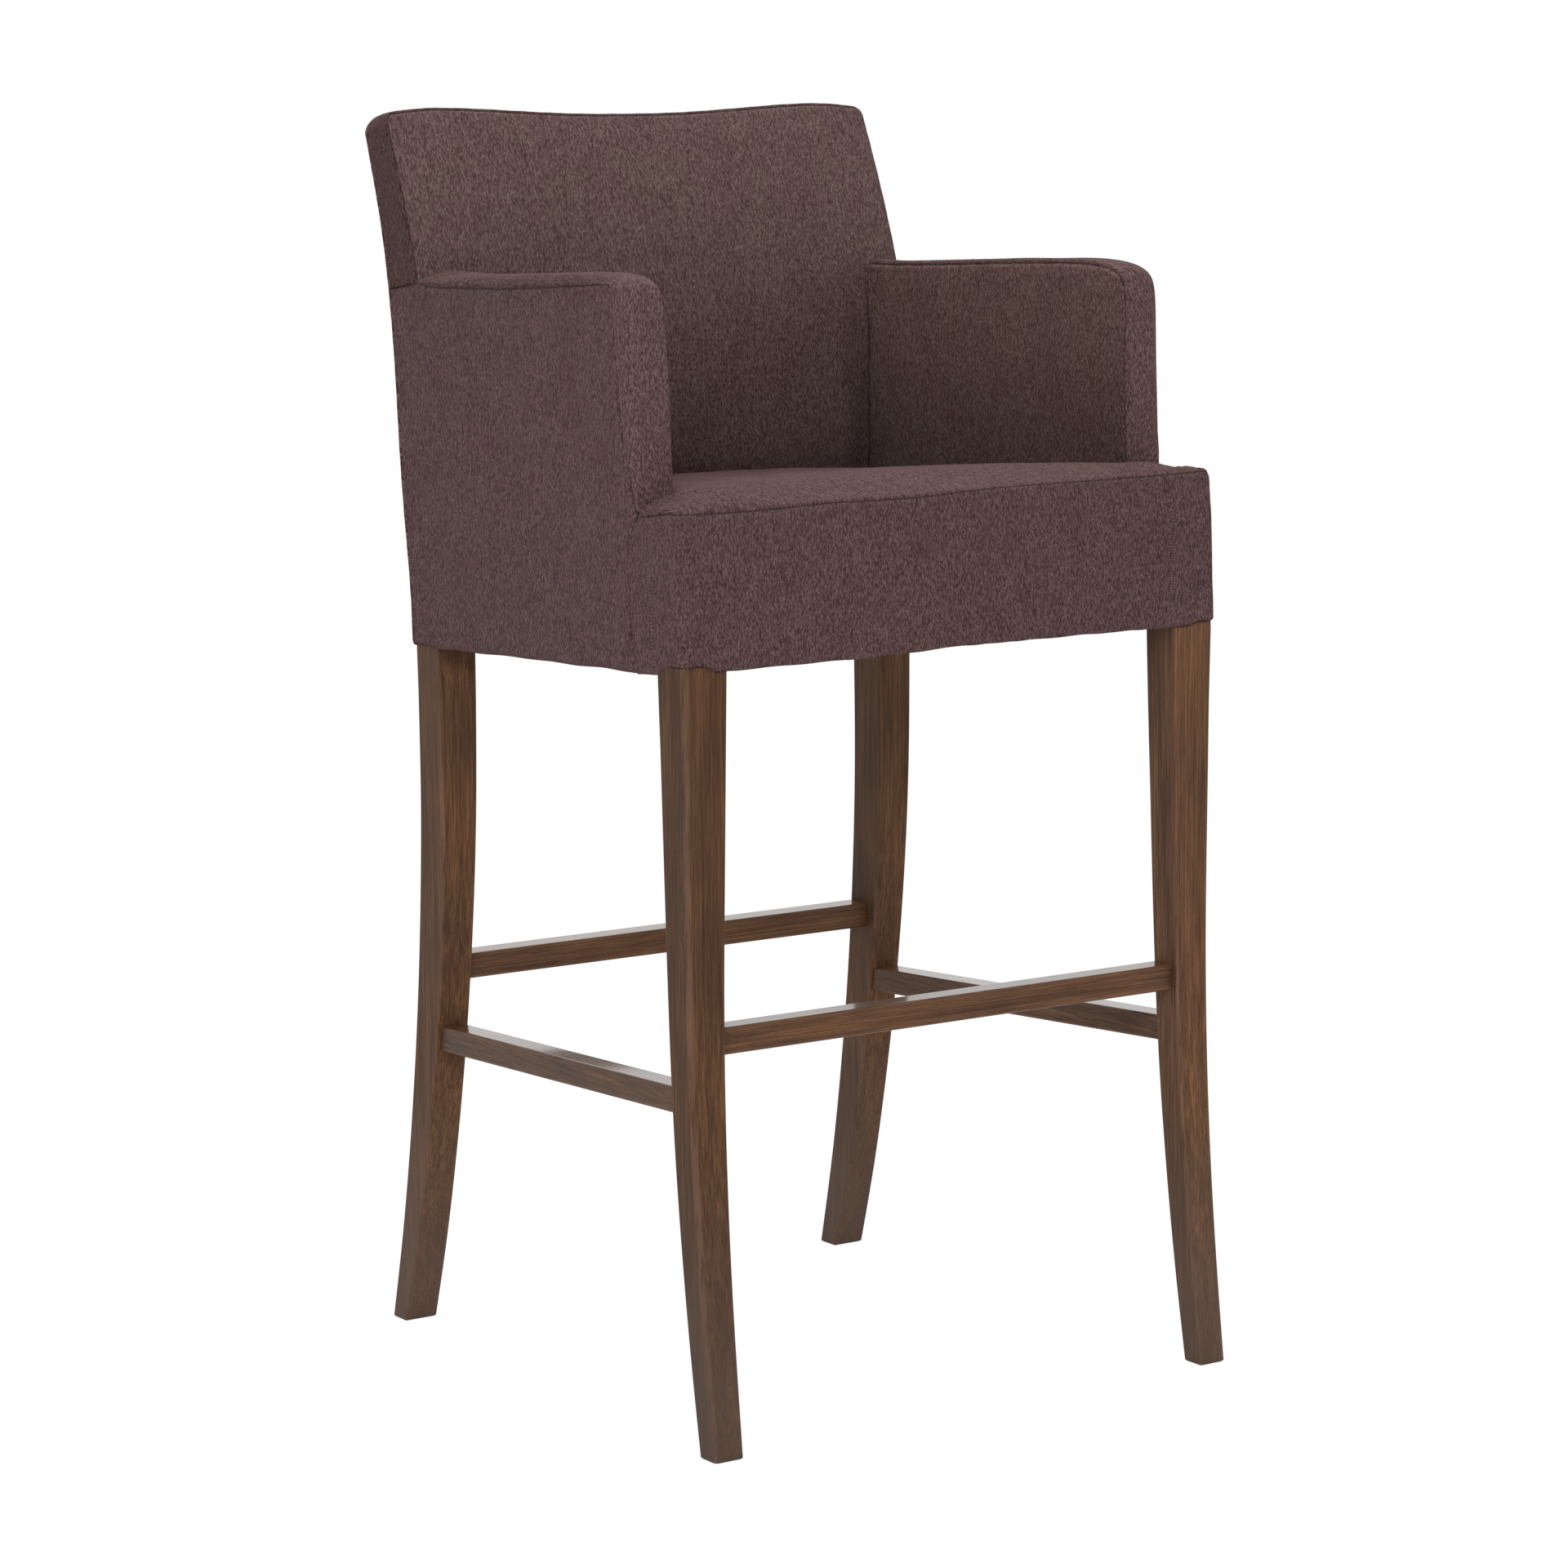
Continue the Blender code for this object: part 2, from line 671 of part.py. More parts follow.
over_back = back_top_front[1] + reach
tuck = box("tuck", (-wide, wide), (front_face, rear_face + reach), (deck + 2 * pad, over_back))
edge_seam = back_side_radius * edge_seam_share
back_front = cut(keep(back_form(0), back_zone_solid(front_zones[0], edge_seam), tuck), back_in)
piece(back_front, "back_cover_front", cloth, smooth_angle)


def rear_zone(ahead_by):
    line = [(rear_face, low), (rear_face, back_rear_line[3][1]), back_rear_line[2], back_rear_line[1],
            back_rear_line[0], (back_top_rear[0], back_top_rear[1] - back_top_rear_radius)]
    pts = [(v - back_side_radius - fabric - ahead_by, w) for v, w in line]
    pts.append((back_top_rear[0] - back_top_rear_radius - ahead_by, back_top_rear[1] + reach))
    pts += [(back_top_rear[0] + reach, back_top_rear[1] + reach), (back_top_rear[0] + reach, low)]
    return prism_x("rear_zone", pts, -wide, wide)


hem_up = box("hem_up", (-wide, wide), (front_face, rear_face + 2 * reach), (hem_height, over_back))
back_rear = cut(keep(back_form(0), rear_zone(-gap), hem_up), back_in)
piece(back_rear, "back_cover_rear", cloth, smooth_angle)
behind = rear_face + 2 * reach
pts = [(front_face, low), (behind, low), (behind, arm_crease_rear[1] - gap),
       (arm_crease_rear[0], arm_crease_rear[1] + gap), (arm_crease[0], arm_crease[1] + gap),
       (front_face, arm_crease[1] + gap)]
boxing_floor = prism_x("boxing_floor", pts, -wide, wide)
front_share = back_zone_solid(front_zones[1], edge_seam + gap)
boxing = cut(back_form(0), back_in, rear_zone(0.0), front_share, boxing_floor)
piece(boxing, "back_boxing", cloth, smooth_angle)


# Legs
def leg_section(x0, x1, y0, y1, big_front, sign):
    """Four-sided section, its outer front or rear corner well rounded."""
    pts = [(x0, y0), (x1, y0), (x1, y1), (x0, y1)]
    radii = [leg_edge] * 4
    if big_front:
        radii[1] = leg_round
    pts = rounded(pts, radii, 3)
    if sign < 0:
        pts = [(-p[0], p[1]) for p in reversed(pts)]
    return [(p[0], p[1]) for p in pts]


def leg(name, sign, faces, top_box, upper, big_front, grow=0.0):
    front, rear, outer, inner = faces
    rings = []
    for i, z in enumerate(leg_heights):
        sec = leg_section(inner[i] - grow, outer[i] + grow, front[i] - grow, rear[i] + grow, big_front, sign)
        base = z if i else z - grow
        rings.append([(p[0], p[1], base) for p in sec])
    v0, v1, x0, x1 = top_box
    sec = leg_section(x0 - grow, x1 + grow, v0 - grow, v1 + grow, big_front, sign)
    shoulder_w = hem_height + 2 * gap
    rings.append([tuple(to_world((p[0], p[1], shoulder_w))) for p in sec])
    for v0, v1, x0, x1, w in upper:
        sec = leg_section(x0 - grow, x1 + grow, v0 - grow, v1 + grow, False, sign)
        rings.append([tuple(to_world((p[0], p[1], w))) for p in sec])
    return loft(name, rings, curved=True, leaned=False)


def front_leg_plan():
    """Front, rear, outer and inner face right under the hem."""
    v0 = front_face + leg_reveal
    outer = side_x(v0) - leg_reveal
    return v0, v0 + front_leg_depth, outer - front_leg_width, outer


def rear_leg_plan():
    v1 = rear_face - leg_reveal - fabric
    outer = side_x(v1) - leg_reveal
    return v1 - rear_leg_depth, v1, outer - rear_leg_width, outer


front_top_y = to_world((0.0, front_leg_plan()[0], hem_height)).y
front_leg_front = [front_top_y + flare for flare in front_leg_flare]
front_leg_rear = [y + depth for y, depth in zip(front_leg_front, front_leg_depths)]
front_leg_outer = [front_leg_plan()[3] + spread for spread in front_leg_spread]
front_leg_inner = [x - width for x, width in zip(front_leg_outer, front_leg_widths)]
rear_top_y = to_world((0.0, rear_leg_plan()[1], hem_height)).y
rear_leg_rear = [rear_top_y + flare for flare in rear_leg_flare]
rear_leg_front = [y - depth for y, depth in zip(rear_leg_rear, rear_leg_depths)]
rear_leg_outer = [rear_leg_plan()[3] + spread for spread in rear_leg_spread]
rear_leg_inner = [x - width for x, width in zip(rear_leg_outer, rear_leg_widths)]


def front_leg(sign, grow=0.0):
    v0, v1, x0, x1 = front_leg_plan()
    hid0, hid1 = front_face + rail_cover, v1 - leg_inner_shoulder
    hx1, hx0 = side_x(v1) - rail_cover, x0 + leg_inner_shoulder
    upper = [(hid0, hid1, hx0, hx1, hem_height + 2 * gap), (hid0, hid1, hx0, hx1, rail_top + grow)]
    faces = (front_leg_front, front_leg_rear, front_leg_outer, front_leg_inner)
    return leg("front_leg", sign, faces, (v0, v1, x0, x1), upper, True, grow)


def post_at(w):
    """Front and rear face of the back post at a height."""
    for (w0, a0, b0), (w1, a1, b1) in zip(post_line, post_line[1:]):
        if w <= w1:
            break
    s = (w - w0) / (w1 - w0)
    return a0 + (a1 - a0) * s, b0 + (b1 - b0) * s


def rear_leg(sign, grow=0.0):
    v0, v1, x0, x1 = rear_leg_plan()
    hid0, hid1 = v0 + leg_inner_shoulder, rear_face - rail_cover
    hx1, hx0 = side_x(hid1) - rail_cover, x0 + leg_inner_shoulder
    upper = [(hid0, hid1, hx0, hx1, hem_height + 2 * gap), (hid0, hid1, hx0, hx1, post_line[0][0])]
    for w in (post_neck, post_line[1][0], post_line[2][0], post_line[3][0], post_top + grow):
        a, b = post_at(w)
        x = side_x(b) - rail_cover
        upper.append((a, b, x - post_width, x, w))
    faces = (rear_leg_front, rear_leg_rear, rear_leg_outer, rear_leg_inner)
    return leg("rear_leg", sign, faces, (v0, v1, x0, x1), upper, False, grow)


legs = {}
grown = {}
for side, sign in (("left", -1), ("right", 1)):
    legs["front_leg_" + side] = front_leg(sign)
    legs["rear_leg_" + side] = rear_leg(sign)
    grown["front_leg_" + side] = front_leg(sign, gap)
    grown["rear_leg_" + side] = rear_leg(sign, gap)


def tenon_joint(male, female, x, v, w, **kw):
    """Straight tenon on one piece and its mortise in the other."""
    join(male, box("tenon", x, v, w, **kw))
    wider = [(low_end - gap, high_end + gap) for low_end, high_end in (x, v, w)]
    cut(female, box("mortise", *wider, **kw))


# Stretchers, tenoned into the legs
def bar_ring(u, across, up, edge):
    (a0, a1), (b0, b1) = across, up
    pts = [(a0 + edge, b0), (a1 - edge, b0), (a1, b0 + edge), (a1, b1 - edge),
           (a1 - edge, b1), (a0 + edge, b1), (a0, b1 - edge), (a0, b0 + edge)]
    return [(u, a, b) for a, b in pts]


def face_at(values, z):
    for i in range(len(leg_heights) - 1):
        if z <= leg_heights[i + 1]:
            break
    s = (z - leg_heights[i]) / (leg_heights[i + 1] - leg_heights[i])
    return values[i] + (values[i + 1] - values[i]) * s


def cross_bar(name, front, thickness, top, inner_values, left, right):
    """Level bar between two legs, set back from their front faces."""
    y = (front, front + thickness)
    z = (top - cross_stretcher_height, top)
    end = face_at(inner_values, (z[0] + z[1]) / 2)
    bar_ends = (-end - tenon_edge, end + tenon_edge)
    bar = loft(name, [bar_ring(u, y, z, stretcher_edge) for u in bar_ends], leaned=False)
    cut(bar, grown[left], grown[right])
    for sign, leg_name in ((-1, left), (1, right)):
        x = sorted((sign * (end - tenon_length), sign * (end + tenon_length)))
        tenon_joint(bar, legs[leg_name], x, (y[0] + tenon_edge, y[1] - tenon_edge),
                    (z[0] + tenon_edge, z[1] - tenon_edge), leaned=False)
    piece(bar, name, wood)


def side_bar(side, sign):
    d0 = side_stretcher_depth
    d1 = d0 + side_stretcher_thickness
    w1 = side_stretcher_top
    w0 = w1 - side_stretcher_height
    front_v = from_world(face_at(front_leg_rear, w1), w1)[0]
    rear_v = from_world(face_at(rear_leg_front, w1), w1)[0]

    def bar(v0, v1, edge, inset, extra=0.0):
        rings = []
        for v in (v0, v1):
            x1 = side_x(v) - d0 - inset + extra
            x0 = side_x(v) - d1 + inset - extra
            ring = bar_ring(0.0, (x0, x1), (w0 + inset - extra, w1 - inset + extra), edge)
            rings.append([(sign * a, v, b) for _, a, b in ring])
        return loft("side_stretcher_" + side, rings)

    body = bar(front_v - 2 * tenon_edge, rear_v + 2 * tenon_edge, stretcher_edge, 0.0)
    front_name, rear_name = "front_leg_" + side, "rear_leg_" + side
    cut(body, grown[front_name], grown[rear_name])
    for v0, v1, leg_name in ((front_v - tenon_length, front_v + tenon_length, front_name),
                             (rear_v - tenon_length, rear_v + tenon_length, rear_name)):
        join(body, bar(v0, v1, tiny, tenon_edge))
        cut(legs[leg_name], bar(v0 - gap, v1 + gap, tiny, tenon_edge, gap))
    piece(body, "side_stretcher_" + side, wood)


front_bar_y = face_at(front_leg_front, front_stretcher_top) + front_stretcher_setback
rear_bar_y = face_at(rear_leg_front, rear_stretcher_top) + rear_stretcher_setback
cross_bar("front_stretcher", front_bar_y, front_stretcher_thickness, front_stretcher_top, front_leg_inner,
          "front_leg_left", "front_leg_right")
cross_bar("rear_stretcher", rear_bar_y, rear_stretcher_thickness, rear_stretcher_top, rear_leg_inner,
          "rear_leg_left", "rear_leg_right")
for side, sign in (("left", -1), ("right", 1)):
    side_bar(side, sign)

# Seat rails between the leg tops
front_in_v = front_face + rail_cover + rail_thickness
front_leg_back = front_leg_plan()[1] - leg_inner_shoulder
rear_leg_ahead = rear_leg_plan()[0] + leg_inner_shoulder
front_inner_x = front_leg_plan()[2] + leg_inner_shoulder
rear_inner_x = rear_leg_plan()[2] + leg_inner_shoulder
rear_in_v = rear_face - rail_cover - rail_thickness
side_rail_top = rail_top + strap_thickness + gap
rails = {
    "seat_rail_front": box("seat_rail_front", (-front_inner_x + gap, front_inner_x - gap),
                           (front_face + rail_cover, front_in_v), (rail_bottom, rail_top)),
    "seat_rail_rear": box("seat_rail_rear", (-rear_inner_x + gap, rear_inner_x - gap),
                          (rear_in_v, rear_face - rail_cover), (rail_bottom, rail_top)),
}
for side, sign in (("left", -1), ("right", 1)):
    pts = [(front_leg_back + gap, rail_bottom), (rear_leg_ahead - gap, rail_bottom),
           (rear_leg_ahead - gap, side_rail_top), (front_leg_back + gap, side_rail_top)]
    rails["seat_rail_" + side] = prism_side("rail", pts, rail_cover, rail_cover + rail_thickness, sign)


# Tenons hold every rail in its legs
tenon_w = (rail_bottom + rail_tenon_margin, rail_top - rail_tenon_margin)
for end, inner_x, v0 in (("front", front_inner_x, front_face + rail_cover),
                         ("rear", rear_inner_x, rear_in_v)):
    tenon_v = (v0 + rail_tenon_edge, v0 + rail_thickness - rail_tenon_edge)
    for side, sign in (("left", -1), ("right", 1)):
        x = sorted((sign * (inner_x - rail_tenon_length), sign * (inner_x + rail_tenon_length)))
        tenon_joint(rails["seat_rail_" + end], legs[end + "_leg_" + side], x, tenon_v, tenon_w)
for side, sign in (("left", -1), ("right", 1)):
    for end, v0 in (("front", front_leg_back), ("rear", rear_leg_ahead)):
        outer = side_x(v0) - rail_cover - rail_tenon_edge
        x = sorted((sign * outer, sign * (outer - rail_thickness + 2 * rail_tenon_edge)))
        tenon_joint(rails["seat_rail_" + side], legs[end + "_leg_" + side], x,
                    (v0 - side_tenon_length, v0 + side_tenon_length), tenon_w)

# Corner blocks, each screwed to two rails
block_top = block_bottom + block_height
block_w = block_bottom + block_height / 2
for end, rail_name, rail_v, face_v, leg_v, leg_x, out in (
        ("front", "seat_rail_front", front_in_v, front_in_v + gap, front_leg_back + gap,
         front_inner_x - gap, 1),
        ("rear", "seat_rail_rear", rear_in_v, rear_in_v - gap, rear_leg_ahead - gap,
         rear_inner_x - gap, -1)):
    for side, sign in (("left", -1), ("right", 1)):
        def wall(v):
            return side_x(v) - rail_cover - rail_thickness - gap

        far_v = leg_v + out * block_reach
        far_x = leg_x - block_reach
        pts = [(far_x, face_v), (leg_x, face_v), (leg_x, leg_v), (wall(leg_v), leg_v), (wall(far_v), far_v),
               (wall(far_v) - block_nose, far_v), (far_x, face_v + out * block_nose)]
        pts = [(sign * x, v) for x, v in pts]
        block = prism_w("corner_block", pts, block_bottom, block_top)
        side_v = leg_v + out * screw_offset
        places = (((0, -out, 0), (sign * (leg_x - screw_offset), face_v), rails[rail_name]),
                  ((sign, 0, 0), (sign * wall(side_v), side_v), rails["seat_rail_" + side]))
        for axis, seat, rail in places:
            axis = Vector(axis)
            start = Vector((seat[0], seat[1], block_w))
            head = start - axis * screw_grip
            tip = start + axis * screw_bite
            shank = rod("screw", head - axis * tiny, tip, screw_radius, round_steps)
            cap = rod("screw_head", head - axis * screw_head_height, head, screw_head_radius, round_steps)
            screw_name = "block_screw_%s_%s_%s" % (end, side, "across" if axis.x else "along")
            piece(join(shank, cap), screw_name, steel, smooth_angle)
            cut(block, rod("bore", head - axis * reach, head + axis * gap, screw_head_radius + gap, 8),
                rod("bore", head - axis * reach, tip + axis * gap, screw_radius + gap, 8))
            cut(rail, rod("bore", start - axis * gap, tip + axis * gap, screw_radius + gap, 8))
        piece(block, "corner_block_%s_%s" % (end, side), raw_wood)

# Arm frame: a post on the side rail and a rail back to the leg post
for side, sign in (("left", -1), ("right", 1)):
    a = arm_post_front
    b = a + arm_post_depth
    inner = arm_thickness - rail_cover - gap
    outer = rail_cover + gap
    foot, head = side_rail_top + gap, arm_rail_bottom - gap
    pts = [(a, foot), (b, foot), (b, head), (a, head)]
    post = prism_side("arm_post", pts, outer, inner, sign)
    rear = post_at(arm_rail_top)[0] - gap
    rear_low = post_at(arm_rail_bottom)[0] - gap
    pts = [(a, arm_rail_bottom), (rear_low, arm_rail_bottom), (rear, arm_rail_top), (a, arm_rail_top)]
    rail = prism_side("arm_rail", pts, outer, inner, sign)
    x = sorted((sign * (side_x(b) - rail_cover - rail_tenon_edge),
                sign * (side_x(a) - rail_cover - rail_thickness + rail_tenon_edge)))
    v = (a + rail_tenon_edge, b - rail_tenon_edge)
    tenon_joint(post, rails["seat_rail_" + side], x, v,
                (side_rail_top - post_tenon_length, side_rail_top + post_tenon_length))
    tenon_joint(post, rail, x, v, (arm_rail_bottom - post_tenon_length, arm_rail_bottom + post_tenon_length))
    x = sorted((sign * (side_x(rear) - rail_cover - rail_tenon_edge),
                sign * (side_x(rear) - rail_cover - rail_thickness + rail_tenon_edge)))
    v = (rear_low - post_tenon_length, rear_low + post_tenon_length)
    tenon_joint(rail, legs["rear_leg_" + side], x, v,
                (arm_rail_bottom + rail_tenon_edge, arm_rail_top - rail_tenon_edge))
    piece(post, "arm_post_" + side, raw_wood)
    piece(rail, "arm_rail_" + side, raw_wood)

# Back frame: two rails between the posts
for name, w0, w1 in (("back_low_rail", back_low_rail_bottom, back_low_rail_top),
                     ("back_top_rail", back_top_rail_bottom, back_top_rail_top)):
    a0, b0 = post_at(w0)
    a1, b1 = post_at(w1)
    m0, m1 = (a0 + b0) / 2, (a1 + b1) / 2
    half = back_rail_thickness / 2
    ends = []
    for sign in (-1, 1):
        ring = []
        for v, w in ((m0 - half, w0), (m0 + half, w0), (m1 + half, w1), (m1 - half, w1)):
            x = side_x(post_at(w)[1]) - rail_cover - post_width - gap
            ring.append((sign * (x - leg_inner_shoulder), v, w))
        ends.append(ring)
    bar = loft(name, ends)
    mid_w = (w0 + w1) / 2
    a, b = post_at(mid_w)
    x = side_x(b) - rail_cover - post_width - gap
    mid_v = (a + b) / 2
    for side, sign in (("left", -1), ("right", 1)):
        tenon_x = sorted((sign * (x - back_tenon_length), sign * (x + back_tenon_length)))
        tenon_v = (mid_v - half + back_tenon_edge, mid_v + half - back_tenon_edge)
        tenon_w = (mid_w - rail_tenon_margin, mid_w + rail_tenon_margin)
        tenon_joint(bar, legs["rear_leg_" + side], tenon_x, tenon_v, tenon_w)
    piece(bar, name, raw_wood)

for name, ob in rails.items():
    piece(ob, name, raw_wood)

# Seat webbing, laid both ways over the rails
top0 = rail_top + gap
span = 2 * (rear_inner_x - strap_width / 2 - strap_lap)
for k in range(long_strap_count):
    x = -span / 2 + span * k / (long_strap_count - 1)
    strap = box("strap", (x - strap_width / 2, x + strap_width / 2),
                (front_in_v - strap_lap, rear_in_v + strap_lap / 2), (top0, top0 + strap_thickness))
    piece(strap, "strap_lengthways_%d" % (k + 1), webbing)
top1 = top0 + strap_thickness + gap
first_v = arm_post_front + arm_post_depth + strap_width
last_v = post_line[0][1] - strap_width
for k in range(cross_strap_count):
    v = first_v + (last_v - first_v) * k / (cross_strap_count - 1)
    x = side_x(v) - rail_cover - rail_thickness + strap_lap
    strap = box("strap", (-x, x), (v - strap_width / 2, v + strap_width / 2), (top1, top1 + strap_thickness))
    piece(strap, "strap_crossways_%d" % (k + 1), webbing)

# Foam
above_deck = box("above_deck", (-wide, wide), (front_face - reach, rear_face + 2 * reach),
                 (deck, back_top_front[1] + reach))
seat_zone = front_of_back(gap + fabric + gap)
seat_foam = cut(keep(base_form(fabric + gap), above_deck, seat_zone), *arms_off)
piece(seat_foam, "seat_foam", foam, smooth_angle)

frame_room = []
for side, sign in (("left", -1), ("right", 1)):
    a = arm_post_front - gap
    b = arm_post_front + arm_post_depth + gap
    rear = post_at(arm_rail_top)[0] + pad
    pts = [(a, low), (b, low), (b, arm_rail_bottom - gap), (rear, arm_rail_bottom - gap),
           (rear, arm_rail_top + gap), (a, arm_rail_top + gap)]
    room = prism_side("arm_room", pts, rail_cover, arm_thickness - rail_cover, sign)
    frame_room.append(room)
    top = notch_height + 2 * gap
    pts = [(front_face, low), (notch_end, low), (notch_end, top), (front_face, top)]
    notch = prism_side("notch", pts, -2 * pad, notch_depth, sign)
    arm_block = keep(arm_form(fabric + gap, sign), above_deck, ahead)
    arm_foam = cut(arm_block, room, grown["rear_leg_" + side], notch)
    piece(arm_foam, "arm_foam_" + side, foam, smooth_angle)


def behind_posts(extra):
    pts = [(v + extra, w) for v, w in rear_pad_line]
    far = rear_pad_line[-1][0] + 2 * reach
    tip = pts[-1]
    slope = (rear_pad_line[-1][0] - rear_pad_line[-2][0]) / (rear_pad_line[-1][1] - rear_pad_line[-2][1])
    rise = back_top_front[1] + reach - tip[1]
    pts.append((tip[0] + slope * rise, tip[1] + rise))
    pts += [(far + reach, pts[-1][1]), (far + reach, rear_pad_line[0][1])]
    return prism_x("behind_posts", pts, -wide, wide)


hem_pad = box("hem_pad", (-wide, wide), (front_face, rear_face + 2 * reach), (pad_bottom, over_back))
rear_foam = keep(back_form(fabric + gap), behind_posts(gap), hem_pad)
piece(rear_foam, "back_foam_rear", foam, smooth_angle)
rail_rooms = []
for w0, w1 in ((back_low_rail_bottom, back_low_rail_top), (back_top_rail_bottom, back_top_rail_top)):
    a0, b0 = post_at(w0)
    a1, b1 = post_at(w1)
    m0, m1 = (a0 + b0) / 2, (a1 + b1) / 2
    half = back_rail_thickness / 2 + gap
    far = reach
    pts = [(m0 - half, w0 - gap), (m0 + far, w0 - gap), (m1 + far, w1 + gap), (m1 - half, w1 + gap)]
    x = side_x(b0) - rail_cover - post_width / 2
    rail_rooms.append(prism_x("rail_room", pts, -x, x))
front_foam = cut(keep(back_form(fabric + gap), above_deck), behind_posts(0.0), grown["rear_leg_left"],
                 grown["rear_leg_right"], *rail_rooms, *frame_room)
piece(front_foam, "back_foam_front", foam, smooth_angle)

# Thin pads over the outside of the rails
pad_roof = deck - gap
band_corner = front_face + rail_cover + 2 * pad
inner_plan = inset_corners([(-front_half_width, front_face), (front_half_width, front_face),
                            (rear_half_width, rear_face), (-rear_half_width, rear_face)], fabric + gap + pad)
inside = prism_w("inside", inner_plan, low, arm_top)
pad_zone = box("front_zone", (-wide, wide), (front_face - reach, band_corner), (pad_bottom, pad_roof))
front_pad = cut(keep(base_form(fabric + gap), pad_zone), inside, *arch_cuts)
piece(front_pad, "front_pad", foam, smooth_angle)
for side, sign in (("left", -1), ("right", 1)):
    pts = [(band_corner + gap, pad_bottom), (rear_face - rail_cover - gap, pad_bottom),
           (rear_face - rail_cover - gap, pad_roof), (band_corner + gap, pad_roof)]
    side_pad = prism_side("side_pad", pts, fabric + gap, fabric + gap + pad, sign)
    cut(side_pad, *arch_cuts)
    piece(side_pad, "side_pad_" + side, foam)

# Black lining under the seat frame
d = rail_cover + stretcher_edge
lining_plan = inset_corners([(-front_half_width, front_face), (front_half_width, front_face),
                             (rear_half_width, rear_face), (-rear_half_width, rear_face)], d)
lining_top = rail_bottom - gap
dust = prism_w("dust_cover", lining_plan, lining_top - dust_cover_thickness, lining_top)
cut(dust, *grown.values())
piece(dust, "dust_cover", lining)

for name, ob in legs.items():
    piece(ob, name, wood, 35)

for ob in list(cutters.objects):
    bpy.data.objects.remove(ob, do_unlink=True)

# Set the whole object over the middle of its floor area
bpy.context.view_layer.update()
ys = [(ob.matrix_world @ v.co).y for ob in parts.objects for v in ob.data.vertices]
middle = (min(ys) + max(ys)) / 2
for ob in parts.objects:
    ob.location.y -= middle
bpy.context.view_layer.update()
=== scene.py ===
"""Upholstered bar armchair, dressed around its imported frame."""

import math

import bpy
import numpy as np
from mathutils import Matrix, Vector

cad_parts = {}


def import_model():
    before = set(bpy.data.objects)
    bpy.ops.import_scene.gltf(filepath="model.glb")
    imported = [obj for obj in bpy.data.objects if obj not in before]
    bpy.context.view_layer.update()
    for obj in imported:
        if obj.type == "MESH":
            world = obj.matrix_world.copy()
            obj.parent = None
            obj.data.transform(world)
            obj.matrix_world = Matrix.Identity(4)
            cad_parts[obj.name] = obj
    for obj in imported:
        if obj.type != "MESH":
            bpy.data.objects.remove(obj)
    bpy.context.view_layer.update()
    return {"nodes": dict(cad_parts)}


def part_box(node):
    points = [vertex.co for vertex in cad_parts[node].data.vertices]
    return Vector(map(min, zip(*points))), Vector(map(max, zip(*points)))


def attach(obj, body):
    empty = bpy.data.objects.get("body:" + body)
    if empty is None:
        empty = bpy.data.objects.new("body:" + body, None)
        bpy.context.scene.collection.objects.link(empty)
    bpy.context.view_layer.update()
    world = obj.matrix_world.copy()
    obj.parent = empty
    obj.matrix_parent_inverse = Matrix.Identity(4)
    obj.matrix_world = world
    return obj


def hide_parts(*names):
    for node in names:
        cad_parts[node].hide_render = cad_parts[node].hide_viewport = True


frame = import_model()

# Lengths in metres; x runs right, v back and w up, in the frame that leans with the body
lean = math.radians(3.03)
cos_lean, sin_lean = math.cos(lean), math.sin(lean)
middle = 0.012753
sides = (("left", -1), ("right", 1))
tiny = 1e-12

# Body in plan, and the hem that hangs over the legs
front_face, rear_face = -0.276, 0.1906
front_half, rear_half = 0.2793, 0.2591
taper = (front_half - rear_half) / (rear_face - front_face)
corner_radius = 0.0075
least_radius = 0.001
hem = 0.634
hem_roll = 0.0022
hem_turns = ((30, 0), (60, 0), (90, 0), (90, 0.004), (90, 0.012))
front_leg_x, front_leg_v = (0.226, 0.234), (-0.236, -0.228)
rear_leg_x, rear_leg_v = (0.214, 0.222), (rear_face - 0.054, rear_face - 0.046)
front_arch, front_arch_x, front_arch_v = 0.0090, (0.236, 0.262), (-0.230, -0.256)
rear_arch, rear_arch_v = 0.0020, (rear_face - 0.052, rear_face - 0.045)
front_hem_low, front_hem_more, front_hem_x, front_hem_deep = 0.0032, 0.0028, (-0.11, 0.02), 0.02
hem_wave_v, hem_wave_x = (0.0004, 0.083), (0.0003, 0.061)

# Seat: the seam round it, the roll above the seam and the crown
seat_seam = 0.769
seat_seam_x = (-0.279, -0.190, -0.120, -0.045, 0.020, 0.095, 0.170, 0.279)
seat_seam_w = (0.7655, 0.7648, 0.7669, 0.7662, 0.7690, 0.7706, 0.7705, 0.7722)
junction = (-0.2110, 0.7620)
beside_x, beside_v = (0.262, 0.274), (-0.262, -0.212)
seat_plateau = 0.7735
seat_back_v = 0.155
edge_step, edge_rise = 0.0022, 0.009
edge_pulled, pull_v, pull_w = 0.0009, (-0.212, -0.252), (0.730, 0.764)
roll_left, roll_less, roll_x = 0.026, 0.008, (0.10, 0.26)
crown_insets = (0.0, 0.014, 0.045, 0.095, 0.150, 0.200, 0.300)
crown_left = (0.0, 0.0018, 0.0074, 0.0098, 0.0111, 0.0118, 0.0120)
crown_right = (0.0, 0.0033, 0.0057, 0.0073, 0.0100, 0.0115, 0.0120)
crown_right_x, crown_reach = (0.10, 0.22), 0.29
seat_fall, seat_fall_v = 0.0124, (-0.25, 0.10)
back_dip, back_dip_v = 0.006, (0.128, 0.146)
arm_dip, arm_dip_wide, arm_dip_v = 0.0035, 0.010, -0.2095
seat_under_arm, seat_under_arm_v = 0.007, -0.2035

